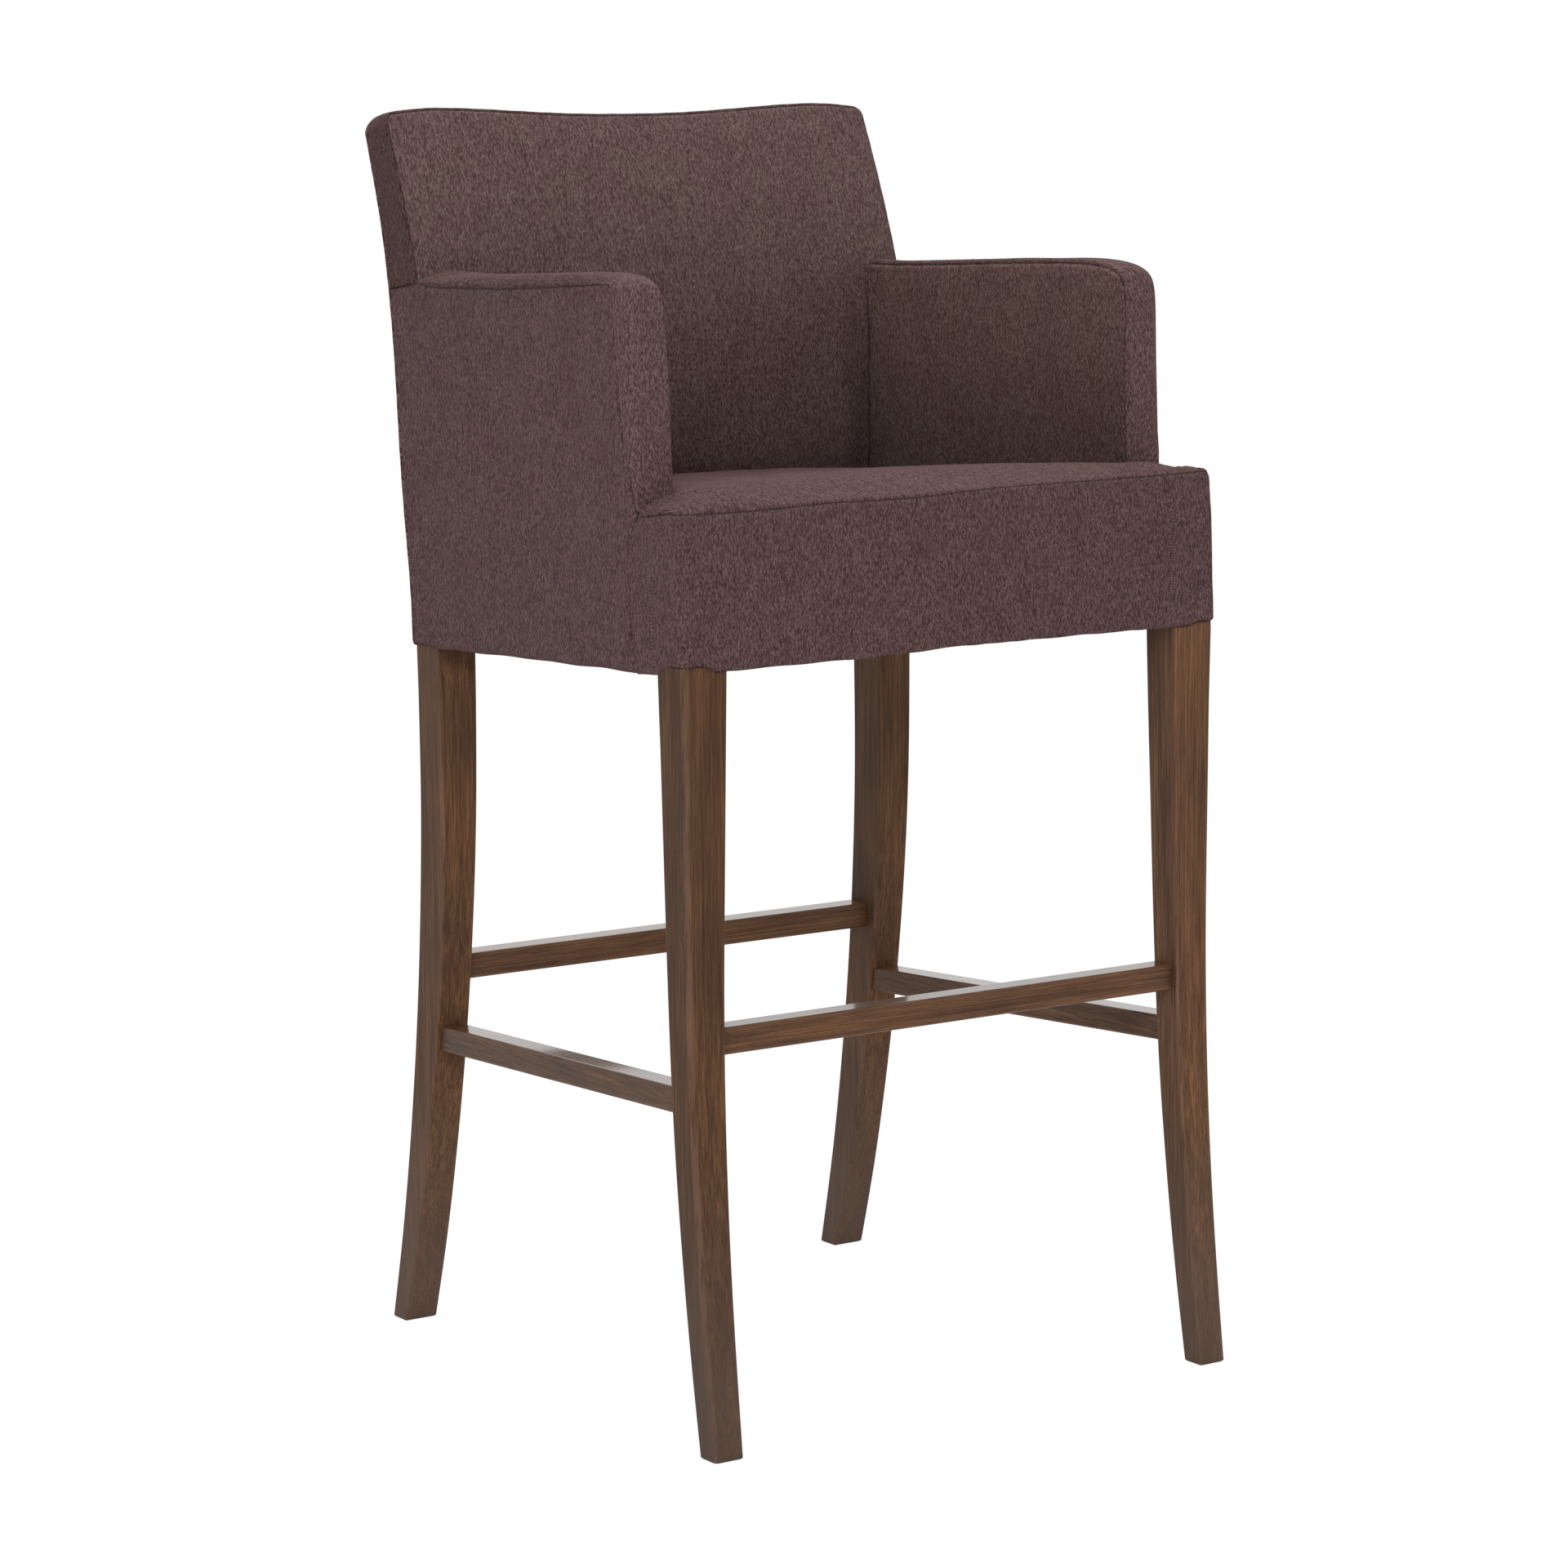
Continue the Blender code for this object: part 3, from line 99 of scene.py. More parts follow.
# Arms: outline and seams in the side view, each point (v, w)
arm_thickness = 0.040
arm_top = 0.960
arm_outer, arm_inner = 0.010, 0.006
arm_inner_turn = math.radians(65)
arm_thinning, arm_thinning_w = 0.0032, (0.850, 0.930)
arm_bend_w, arm_front_top_w = 0.930, 0.950
band_line = [(-0.2005, 0.634), (-0.1966, 0.6685), (-0.1934, 0.705), (-0.1962, 0.7368),
             (-0.2025, 0.7508), junction]
arm_seam = [junction, (-0.2088, 0.7690), (-0.2055, 0.7780), (-0.2025, 0.7925), (-0.1930, 0.8177),
            (-0.1858, 0.8819), (-0.1838, 0.915), (-0.1815, 0.940)]
seam_corner = (-0.1778, 0.9512)
arm_seam_top = [(-0.145, 0.9502), (-0.1112, 0.9493), (-0.0545, 0.9483), (-0.0045, 0.9479),
                (0.060, 0.9486), (0.1182, 0.9499), (0.1335, 0.9510), (0.1480, 0.9535)]
arm_tip = (0.1563, 0.9547)
arm_points = [(-0.2105, 0.745), (-0.2103, 0.780), (-0.2098, 0.810), (-0.2100, 0.860),
              (-0.2106, 0.900), (-0.2103, 0.925), (-0.2088, 0.9365), (-0.2050, 0.9458),
              (-0.1970, 0.9517), (-0.1840, 0.9560), (-0.1650, 0.9588), (-0.1400, 0.9602),
              (-0.1100, 0.9603), (0.0, 0.960), (0.1580, 0.960)]
strip_foot = (-0.2115, 0.745)
strip_knots = (((-0.2104, 0.766), (-0.2092, 0.768)), ((-0.2098, 0.830), (-0.1900, 0.826)),
               ((-0.2103, 0.925), (-0.1832, 0.925)), ((-0.1970, 0.9517), seam_corner),
               ((-0.1650, 0.9588), (-0.1500, 0.9503)), ((0.1400, 0.960), (0.1400, 0.9522)))
view_depth, view_back = 0.5637, 0.8110

# Back: its faces in the side view, each point (v, w), and its top edge
back_front = [(0.139, 0.634), (0.140, 0.722), (0.153, 0.956), (0.1842, 1.0588), (0.2029, 1.110)]
back_rear = [(0.1906, 0.620), (0.1906, 0.680), (0.1966, 0.744), (0.2107, 0.953),
             (0.2253, 1.0254), (0.2420, 1.083), (0.2475, 1.105)]
back_top = 1.110
back_deep = 0.0446
back_slope = 0.005 / back_deep
back_slope_w = (1.05, 1.09)
top_shares = (0.0, 0.232, 0.463, 0.648, 0.741, 0.82, 0.90, 0.97, 1.0)
top_drops = (0.0101, 0.0093, 0.0063, 0.0036, 0.0027, 0.0027, 0.0040, 0.0058, 0.0066)
shoulder_front, shoulder_rear = 0.008, 0.017
back_edge, rear_edge = 0.006, 0.007
crease_fall, crease_tall = 0.097, 0.035
rim_low = 0.9546

# Cloth: thickness, the groove and bead of a seam, and the spacing of the points
cloth_thickness = 0.0012
seam_steps = (0.0005, 0.0011, 0.0018, 0.0027, 0.0040, 0.0058)
seam_reach = 0.3
groove_depth, groove_width = 0.0014, 0.0013
bead_height, bead_at, bead_width = 0.0005, 0.0042, 0.0024
tug_depth, tug_width = 0.00022, 0.006
tug_pitch, tug_slow_pitch, tug_long_pitch = 0.0117, 0.073, 0.031
soft_seam = 0.3
held_edge, ripple_edge, quick_edge, quick_share = 0.004, 0.02, 0.05, 0.6
under_uv = 0.01
grid_step, strip_step, boxing_step = 0.0042, 0.0036, 0.0038


def world(x, v, w):
    x, v, w = np.broadcast_arrays(x, v, w)
    y, z = v * cos_lean + w * sin_lean - middle, w * cos_lean - v * sin_lean
    return np.stack([x, y, z], -1).astype(float)


def side_x(v):
    return front_half - taper * (np.asarray(v, float) - front_face)


def between(x, a, b):
    """0 up to a and 1 from b on, or the other way round where b is the smaller."""
    return np.clip((np.asarray(x, float) - a) / (b - a), 0, 1)


def smoothstep(x, a, b):
    t = between(x, a, b)
    return t * t * (3 - 2 * t)


def unit(a):
    return a / np.maximum(np.linalg.norm(a, axis=-1, keepdims=True), tiny)


def run_along(p):
    """Length gone at each point of a line."""
    return np.concatenate([[0], np.cumsum(np.linalg.norm(np.diff(p, axis=0), axis=1))])


def curve_length(p):
    return float(np.linalg.norm(np.diff(np.asarray(p), axis=0), axis=1).sum())


def resample(p, shares):
    p = np.asarray(p, float)
    gone = run_along(p)
    at = np.asarray(shares) * gone[-1]
    return np.stack([np.interp(at, gone, p[:, k]) for k in range(p.shape[1])], -1)


def smooth_line(points, count, rounds=3, cut=0.25):
    """Corner-cut polyline, resampled evenly by length."""
    p = np.array(points, float)
    for _ in range(rounds):
        q = np.empty((2 * len(p), p.shape[1]))
        q[0], q[-1] = p[0], p[-1]
        q[1:-1:2] = p[:-1] * (1 - cut) + p[1:] * cut
        q[2:-1:2] = p[:-1] * cut + p[1:] * (1 - cut)
        p = q[:-1] if np.allclose(q[-1], q[-2]) else q
    return resample(p, np.linspace(0, 1, count))


def spaced(length, step=grid_step, first=True, last=True):
    """Shares along a length, close together beside a seam."""
    head = [0.0] + [s for s in seam_steps if first and s < length * seam_reach]
    tail = [0.0] + [s for s in seam_steps if last and s < length * seam_reach]
    inner = length - head[-1] - tail[-1]
    count = max(int(round(inner / step)), 1)
    mid = head[-1] + inner * np.linspace(0, 1, count + 1)
    return np.array(head[:-1] + list(mid) + [length - s for s in tail[:-1][::-1]]) / length


def natural(knots_x, knots_y, x):
    """Smooth cubic through knots."""
    kx, ky = np.asarray(knots_x, float), np.asarray(knots_y, float)
    n = len(kx)
    h = np.diff(kx)
    a, b = np.zeros((n, n)), np.zeros(n)
    a[0, 0] = a[-1, -1] = 1
    for i in range(1, n - 1):
        a[i, i - 1], a[i, i], a[i, i + 1] = h[i - 1], 2 * (h[i - 1] + h[i]), h[i]
        b[i] = 6 * ((ky[i + 1] - ky[i]) / h[i] - (ky[i] - ky[i - 1]) / h[i - 1])
    m = np.linalg.solve(a, b)
    x = np.asarray(x, float)
    i = np.clip(np.searchsorted(kx, x) - 1, 0, n - 2)
    t, u = x - kx[i], kx[i + 1] - x
    return ((m[i] * u ** 3 + m[i + 1] * t ** 3) / (6 * h[i]) + (ky[i] / h[i] - m[i] * h[i] / 6) * u
            + (ky[i + 1] / h[i] - m[i + 1] * h[i] / 6) * t)


def face_of(line):
    """Depth of a face of the back at a height."""
    v, w = zip(*line)
    return lambda height: natural(w, v, height)


front_v, rear_v = face_of(back_front), face_of(back_rear)


def coons(bottom, top, left, right):
    """Patch between four border curves; rows run from bottom to top."""
    s, t = run_along(left), run_along(bottom)
    s, t = (s / s[-1])[:, None, None], (t / t[-1])[None, :, None]
    ruled_v = bottom[None] * (1 - s) + top[None] * s
    ruled_u = left[:, None] * (1 - t) + right[:, None] * t
    low, high = bottom[0] * (1 - t) + bottom[-1] * t, top[0] * (1 - t) + top[-1] * t
    return ruled_v + ruled_u - (low * (1 - s) + high * s)


def normals_of(p):
    """Vertex normals of a grid of points."""
    return unit(np.cross(np.gradient(p, axis=1), np.gradient(p, axis=0)))


def outline_normals(line):
    d = unit(np.gradient(line, axis=0))
    return np.stack([d[:, 1], -d[:, 0]], -1)


def border_distances(p):
    """Distance along the grid to the left, right, bottom and top border."""
    across = np.linalg.norm(np.diff(p, axis=1), axis=-1)
    along = np.linalg.norm(np.diff(p, axis=0), axis=-1)
    left = np.concatenate([np.zeros((p.shape[0], 1)), np.cumsum(across, 1)], 1)
    bottom = np.concatenate([np.zeros((1, p.shape[1])), np.cumsum(along, 0)], 0)
    return left, left[:, -1:] - left, bottom, bottom[-1:] - bottom


wave_count, wave_peak = 14, 5.0
waves = np.random.default_rng(7)
wave_dirs = unit(waves.normal(size=(wave_count, 3)))
wave_sizes = waves.uniform(0.045, 0.16, wave_count)
wave_turns = waves.uniform(0, math.tau, wave_count)


def ripple(p):
    """Soft unevenness of cloth over foam, between about -1 and 1."""
    return sum(np.sin(p @ d * math.tau / size + turn)
               for d, size, turn in zip(wave_dirs, wave_sizes, wave_turns)) / wave_peak


def grid_quads(rows, cols, flip=False):
    index = np.arange(rows * cols).reshape(rows, cols)
    quads = [index[:-1, :-1], index[:-1, 1:], index[1:, 1:], index[1:, :-1]]
    quads = np.stack(quads, -1).reshape(-1, 4)
    return quads[:, ::-1] if flip else quads


def renumbered(faces, count):
    """Points that the faces use, and the faces numbered by them."""
    used = np.unique(faces)
    lookup = np.full(count, -1)
    lookup[used] = np.arange(len(used))
    return used, lookup[faces]


# Simulation of a panel's cloth, blown out a little by the foam behind it
cloth_frames = 20
cloth_settings = dict(quality=6, mass=0.25, tension_stiffness=40, compression_stiffness=40,
                      shear_stiffness=12, bending_stiffness=0.6, vertex_group_mass="held",
                      use_pressure=True, uniform_pressure_force=2.0, shrink_min=-0.006)


def drape(p, held, cap, flip):
    """Cloth simulation of one panel, held at its borders: how far each point moves."""
    rows, cols = p.shape[:2]
    scene = bpy.context.scene
    mesh = bpy.data.meshes.new("drape")
    mesh.from_pydata(p.reshape(-1, 3).tolist(), [], grid_quads(rows, cols, flip).tolist())
    ob = bpy.data.objects.new("drape", mesh)
    scene.collection.objects.link(ob)
    ob.vertex_groups.new(name="held").add(np.flatnonzero(held).tolist(), 1.0, "REPLACE")
    cloth = ob.modifiers.new("cloth", "CLOTH")
    for key, value in cloth_settings.items():
        setattr(cloth.settings, key, value)
    cloth.settings.effector_weights.gravity = 0
    cloth.collision_settings.use_collision = False
    for step in range(cloth_frames):
        scene.frame_set(1 + step)
    settled = ob.evaluated_get(bpy.context.evaluated_depsgraph_get())
    places = np.empty(rows * cols * 3, np.float32)
    settled.to_mesh().vertices.foreach_get("co", places)
    settled.to_mesh_clear()
    scene.frame_set(1)
    bpy.data.objects.remove(ob)
    shift = places.reshape(rows, cols, 3).astype(float) - p
    size = np.linalg.norm(shift, axis=-1, keepdims=True)
    return shift * np.minimum(1, cap / np.maximum(size, tiny))


def make_object(name, verts, faces, uv=None, mats=(), smooth=True):
    mesh = bpy.data.meshes.new(name)
    mesh.from_pydata(np.asarray(verts).tolist(), [], [list(map(int, f)) for f in faces])
    if uv is not None:
        layer = mesh.uv_layers.new(name="weave")
        loops = np.empty(len(mesh.loops), np.int32)
        mesh.loops.foreach_get("vertex_index", loops)
        layer.uv.foreach_set("vector", np.asarray(uv, np.float32)[loops].ravel())
    for mat in mats:
        mesh.materials.append(mat)
    mesh.polygons.foreach_set("use_smooth", [smooth] * len(mesh.polygons))
    mesh.update()
    ob = bpy.data.objects.new(name, mesh)
    bpy.context.scene.collection.objects.link(ob)
    return ob


def thicken(ob, thickness, offset):
    mod = ob.modifiers.new("thickness", "SOLIDIFY")
    mod.thickness, mod.offset = thickness, offset


def dress(ob, slot, *replaced, fill=None):
    """Hand a finished piece to the frame."""
    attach(ob, "root")
    if replaced:
        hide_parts(*replaced)
    return ob


def sewn_panel(name, p, mat, replaced, fill, seams, held, ease=0.0006, cap=None, soft="",
               flip=False, trim=None, uv=None):
    """Swell a panel up to its cap, groove its seams, close it and hand it to the frame."""
    left, right, bottom, top = border_distances(p)
    by = {"l": left, "r": right, "b": bottom, "t": top}
    normal = normals_of(p) * (-1 if flip else 1)
    far, run, depth = np.ones(left.shape), np.zeros(left.shape), np.ones(left.shape)
    for key in seams:
        closer = by[key] < far
        far = np.where(closer, by[key], far)
        run = np.where(closer, bottom if key in "lr" else left, run)
        depth = np.where(closer, soft_seam if key in soft else 1.0, depth)
    edge = np.minimum(1.0, np.min([by[key] for key in held], axis=0))
    out = p.copy()
    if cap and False:
        out += normal * (np.tanh(edge / quick_edge) * cap * quick_share)[..., None]
    elif cap:
        out += drape(p, edge < held_edge, cap, flip)
    out += normal * (ease * ripple(p) * between(edge, 0, ripple_edge))[..., None]
    profile = -groove_depth * np.exp(-(far / groove_width) ** 2)
    profile += bead_height * np.exp(-((far - bead_at) / bead_width) ** 2)
    slow = 1.7 * np.sin(run * math.tau / tug_slow_pitch)
    tug = 0.5 + 0.5 * np.sin(run * math.tau / tug_pitch + slow)
    tug += 0.6 * np.sin(run * math.tau / tug_long_pitch + 0.8)
    profile -= tug_depth * tug * np.exp(-far / tug_width)
    out += normal * (profile * depth)[..., None]
    quads = grid_quads(*left.shape, flip)
    if trim is not None:
        quads = quads[~trim.reshape(-1)[quads].all(1)]
    if uv is None:
        uv = np.stack([left - left[:, -1:] / 2, bottom], -1)
    used, quads = renumbered(quads, left.size)
    ob = make_object(name, out.reshape(-1, 3)[used], quads, uv.reshape(-1, 2)[used], [mat])
    thicken(ob, cloth_thickness, -1)
    dress(ob, "cloth", *replaced, fill=fill)
    return out, normal


# Materials
class Net:
    """The shader nodes of a material or the world, under short names."""

    def __init__(self, owner):
        owner.use_nodes = True
        self.owner = owner
        self.tree = owner.node_tree
        self.shader = self.tree.nodes.get("Principled BSDF")

    def add(self, kind, **values):
        node = self.tree.nodes.new(kind)
        for key, value in values.items():
            if key in node.bl_rna.properties:
                setattr(node, key, value)
            else:
                node.inputs[key].default_value = value
        return node

    def link(self, a, b):
        self.tree.links.new(a, b)

    def place(self):
        return self.add("ShaderNodeTexCoord").outputs["Object"]

    def split(self, vector):
        node = self.add("ShaderNodeSeparateXYZ")
        self.link(vector, node.inputs[0])
        return node.outputs

    def math(self, op, *values):
        node = self.add("ShaderNodeMath", operation=op)
        for socket, value in zip(node.inputs, values):
            if isinstance(value, (int, float)):
                socket.default_value = value
            else:
                self.link(value, socket)
        return node.outputs[0]

    def total(self, *terms):
        """Sum of values, a pair being a value and its weight."""
        out = None
        for term in terms:
            value = self.math("MULTIPLY", *term) if isinstance(term, tuple) else term
            out = value if out is None else self.math("ADD", out, value)
        return out

    def wave(self, value, pitch):
        return self.math("SINE", self.math("MULTIPLY", value, math.tau / pitch))

    def mix(self, fac, a, b, blend="MIX"):
        node = self.add("ShaderNodeMix", data_type="RGBA", blend_type=blend)
        for key, value in (("Factor", fac), ("A", a), ("B", b)):
            if isinstance(value, tuple):
                node.inputs[key].default_value = (*value, 1.0)
            elif isinstance(value, (int, float)):
                node.inputs[key].default_value = value
            else:
                self.link(value, node.inputs[key])
        return next(out for out in node.outputs if out.type == "RGBA")

    def noise(self, vector, scale, detail=2.0, rough=0.5, distortion=0.0):
        """Noise at one scale, or at a scale for each axis."""
        if isinstance(scale, tuple):
            stretch = self.add("ShaderNodeMapping", Scale=scale)
            self.link(vector, stretch.inputs["Vector"])
            vector, scale = stretch.outputs["Vector"], 1.0
        node = self.add("ShaderNodeTexNoise", Scale=scale, Detail=detail, Roughness=rough,
                        Distortion=distortion)
        self.link(vector, node.inputs["Vector"])
        return node.outputs["Fac"]

    def ramp(self, fac, *stops):
        node = self.add("ShaderNodeValToRGB")
        elements = node.color_ramp.elements
        while len(elements) < len(stops):
            elements.new(0.5)
        for element, (at, colour) in zip(elements, stops):
            element.position = at
            element.color = (*(colour if isinstance(colour, tuple) else (colour,) * 3), 1.0)
        self.link(fac, node.inputs["Fac"])
        return node.outputs["Color"]

    def seen(self):
        """1 for what the camera sees itself or in a reflection."""
        path = self.add("ShaderNodeLightPath").outputs
        return self.math("MAXIMUM", path["Is Camera Ray"], path["Is Glossy Ray"])

    def surface(self, colour, rough, height, strength, distance, constants):
        """Link colour, roughness and relief, set the constants and give the material."""
        self.link(colour, self.shader.inputs["Base Color"])
        self.link(rough, self.shader.inputs["Roughness"])
        bump = self.add("ShaderNodeBump", Strength=strength, Distance=distance)
        self.link(height, bump.inputs["Height"])
        self.link(bump.outputs[0], self.shader.inputs["Normal"])
        self.constants(constants)
        return self.owner

    def constants(self, values):
        for key, value in values.items():
            self.shader.inputs[key].default_value = value


def shade(colour, by):
    return tuple(c * by for c in colour)


yarn, yarn_warmth = (0.094, 0.0478, 0.0515), (0.06, 0.04, -0.14)
yarn_light = (0.190, 0.124, 0.119)
fleck_colour = (0.250, 0.180, 0.150)
yarn_slide, twill_lean = 0.37, 0.55
cloth_constants = {"Sheen Weight": 0.035, "Sheen Roughness": 0.5,
                   "Sheen Tint": (1.0, 0.86, 0.76, 1.0), "Specular IOR Level": 0.05}


def cloth_material(name, tone=1.0, warm=0.0, pitch=0.00135, twill=1.0, tint=(1.0, 1.0, 1.0),
                   painted_light_ramp=None):
    """Two-tone melange twill: a tone for each float of yarn, diagonal ribs and fine relief, and
    where given, painted light and shade ramped along the weave's v.
    """
    net = Net(bpy.data.materials.new(name))
    uv = net.add("ShaderNodeUVMap", uv_map="weave").outputs["UV"]
    u, v, _ = net.split(uv)

    def cells(wide, long, draw):
        """A random tone for each cell, every column slid against the one before."""
        column = net.math("FLOOR", net.math("DIVIDE", u, wide))
        row = net.math("DIVIDE", net.total(v, (column, yarn_slide * long)), long)
        both = net.add("ShaderNodeCombineXYZ", Z=draw)
        net.link(column, both.inputs["X"])
        net.link(net.math("FLOOR", row), both.inputs["Y"])
        dice = net.add("ShaderNodeTexWhiteNoise")
        net.link(both.outputs[0], dice.inputs["Vector"])
        return dice.outputs["Value"]

    float_tone = cells(0.00062, 0.0026, 0.0)
    yarn_tone = cells(0.00125, 0.0065, 3.0)
    rib = net.wave(net.total(u, (v, twill_lean * twill)), pitch)
    cross = net.wave(v, 0.0009)
    hair = net.noise(uv, (1700.0, 560.0, 1.0), rough=0.6)
    slub = net.noise(uv, (420.0, 70.0, 1.0))
    cloud = net.noise(uv, (22.0, 15.0, 1.0))
    base = tuple(c * tone * (1 + k * warm) for c, k in zip(yarn, yarn_warmth))
    level = net.total((float_tone, 0.54), (yarn_tone, 0.09), (hair, 0.40), (slub, 0.05),
                      (rib, 0.15))
    colour = net.ramp(level, (0.22, shade(base, 0.42)), (0.54, base),
                      (0.90, shade(yarn_light, tone)))
    fleck = net.ramp(cells(0.0007, 0.0016, 9.0), (0.935, 0.0), (0.960, 0.45))
    colour = net.mix(fleck, colour, shade(fleck_colour, tone))
    patch = net.ramp(cloud, (0.32, (0.975, 0.935, 0.975)), (0.68, (1.02, 1.06, 0.985)))
    colour = net.mix(1.0, net.mix(1.0, colour, patch, "MULTIPLY"), tint, "MULTIPLY")
    # Painted light and shade: the colour is scaled from one tone to another along the weave's v
    if painted_light_ramp:
        start, end, start_tone, end_tone = painted_light_ramp
        share = net.math("DIVIDE", net.math("SUBTRACT", v, start), end - start)
        painted_light = net.ramp(share, (0.0, start_tone), (1.0, end_tone))
        colour = net.mix(1.0, colour, painted_light, "MULTIPLY")
    height = net.total((rib, 0.34), (float_tone, 0.30), (cross, 0.12), (hair, 0.5))
    return net.surface(colour, net.total(0.82, (hair, 0.15)), height, 0.45, 0.00035,
                       cloth_constants)


leg_stain = (0.098, 0.0490, 0.0262)
bar_stain = (0.098, 0.0475, 0.0245)
raw_beech = (0.52, 0.36, 0.21)
# Painted highlight colour for the rounded arrises, drawn as lighter stain
worn_stain = (0.240, 0.135, 0.088)
# Paler grey-brown that the legs take on toward the floor
low_pale_tint = (0.118, 0.084, 0.066)


def wood_material(name, along, base, tone, seed, gloss=0.40, grain=1.0, shine=0.10, low_paling=0.0,
                  relief=0.20, polish=0.0):
    """Stained beech: long fine grain, short dark pores, a painted highlight of lighter stain along
    the arrises and painted shade on the faces turned to the sides.
    """
    net = Net(bpy.data.materials.new(name))
    move = net.add("ShaderNodeMapping", Location=(seed, seed * 0.7, seed * 1.3))
    net.link(net.place(), move.inputs["Vector"])

    def grained(across, down, **look):
        scale = tuple(down if axis == along else across for axis in "xyz")
        return net.noise(move.outputs["Vector"], scale, **look)

    figure = grained(95.0, 4.5, detail=3.0, rough=0.55, distortion=0.7)
    streak = grained(560.0, 9.0, detail=3.0, rough=0.62, distortion=0.2)
    fine = grained(1500.0, 42.0, rough=0.6)
    pores = grained(1900.0, 160.0, detail=1.0, rough=0.4)
    cloud = grained(26.0, 9.0)
    level = net.total((figure, 0.24), (streak, 0.52), (fine, 0.26))
    dark = tuple(c * k * tone for c, k in zip(base, (0.46, 0.46, 0.50)))
    light = tuple(c * k * tone for c, k in zip(base, (1.95, 1.95, 1.80)))
    colour = net.ramp(level, (0.36, dark), (0.51, shade(base, tone)), (0.68, light))
    spots = net.ramp(pores, (0.60, 0.0), (0.72, 1.0))
    colour = net.mix(net.math("MULTIPLY", spots, 0.40 * grain), colour, shade(base, 0.40 * tone))
    patch = net.ramp(cloud, (0.30, (0.80, 0.82, 0.86)), (0.70, (1.20, 1.16, 1.10)))
    # Painted light and shade: faces turned to the sides (x) are painted darker and cooler, faces
    # turned front and back lighter and warmer
    facing = net.split(net.add("ShaderNodeNewGeometry").outputs["Normal"])
    painted_facing_shade = net.ramp(net.math("ABSOLUTE", facing[0]), (0.45, (1.06, 1.03, 0.98)),
                       (0.85, (0.90, 0.94, 1.00)))
    colour = net.mix(1.0, net.mix(1.0, colour, patch, "MULTIPLY"), painted_facing_shade, "MULTIPLY")
    # Painted highlight: lighter stain along the rounded arrises, broken up by noise
    arris = net.add("ShaderNodeAttribute", attribute_name="arris").outputs["Fac"]
    broken = net.ramp(grained(90.0, 13.0, detail=3.0, rough=0.65), (0.40, 0.15), (0.55, 1.0))
    worn = net.math("MULTIPLY", arris, net.math("MULTIPLY", broken, 0.45 * grain))
    colour = net.mix(worn, colour, worn_stain)
    # Paler and greyer toward the floor, over the lowest quarter metre
    if low_paling:
        height = net.math("MULTIPLY", net.split(net.place())[2], 4.0)
        colour = net.mix(net.ramp(height, (0.20, low_paling), (0.95, 0.0)), colour, low_pale_tint)
    if polish:
        net.link(net.ramp(facing[2], (0.70, 0.0), (0.92, polish)),
                 net.shader.inputs["Coat Weight"])
        net.constants({"Coat Roughness": 0.08})
    return net.surface(colour, net.total(gloss, (level, 0.20)),
                       net.total((streak, 0.4), (spots, -0.5), (fine, 0.3)), relief, 0.0003,
                       {"Specular IOR Level": shine})


def plain_weave(name, colour, scale, rough=0.85):
    """Close plain weave for webbing, lining and thread, from the object's own axes."""
    net = Net(bpy.data.materials.new(name))
    where = net.place()
    x, y, _ = net.split(where)
    a, b = (net.math("SINE", net.math("MULTIPLY", axis, scale)) for axis in (x, y))
    fuzz = net.noise(where, 900.0, rough=0.6)
    level = net.total((net.math("MULTIPLY", a, b), 0.25), fuzz)
    tones = net.ramp(level, (0.25, shade(colour, 0.5)), (0.55, colour), (0.85, shade(colour, 1.9)))
    return net.surface(tones, net.total(rough - 0.1, (fuzz, 0.2)), level, 0.4, 0.0003, {})


def steel_material(name):
    net = Net(bpy.data.materials.new(name))
    wear = net.noise(net.place(), 420.0, detail=3.0, rough=0.6)
    tones = net.ramp(wear, (0.35, (0.36, 0.36, 0.38)), (0.65, (0.60, 0.60, 0.62)))
    return net.surface(tones, net.total(0.25, (wear, 0.25)), wear, 0.15, 0.0002,
                       {"Metallic": 1.0})


fine_pitch = 0.0011
body_cloth = cloth_material("aubergine_weave")
side_cloth = cloth_material("aubergine_weave_side", 1.02, -0.15, twill=-1.0)
# Painted shade: darker toward the bottom of the back, lighter toward its top
back_cloth = cloth_material("aubergine_weave_back", tint=(1.05, 1.14, 1.08),
                            painted_light_ramp=(0.78, 1.09, 0.90, 1.10))
# Painted light: lighter on the arm's front, darker along its top
strip_cloth = cloth_material("aubergine_weave_strip", 0.98, 0.35, fine_pitch,
                             tint=(1.0, 1.03, 1.04), painted_light_ramp=(0.19, 0.26, 1.20, 0.93))
boxing_cloth = cloth_material("aubergine_weave_boxing", 0.74, 0.6, fine_pitch)
# Painted shade: darker low down toward the seat, lighter toward the arm's top
inner_cloth = cloth_material("aubergine_weave_inner", 0.97, 0.75, twill=-1.0,
                             tint=(1.0, 1.08, 1.05), painted_light_ramp=(0.78, 0.94, 0.74, 1.22))
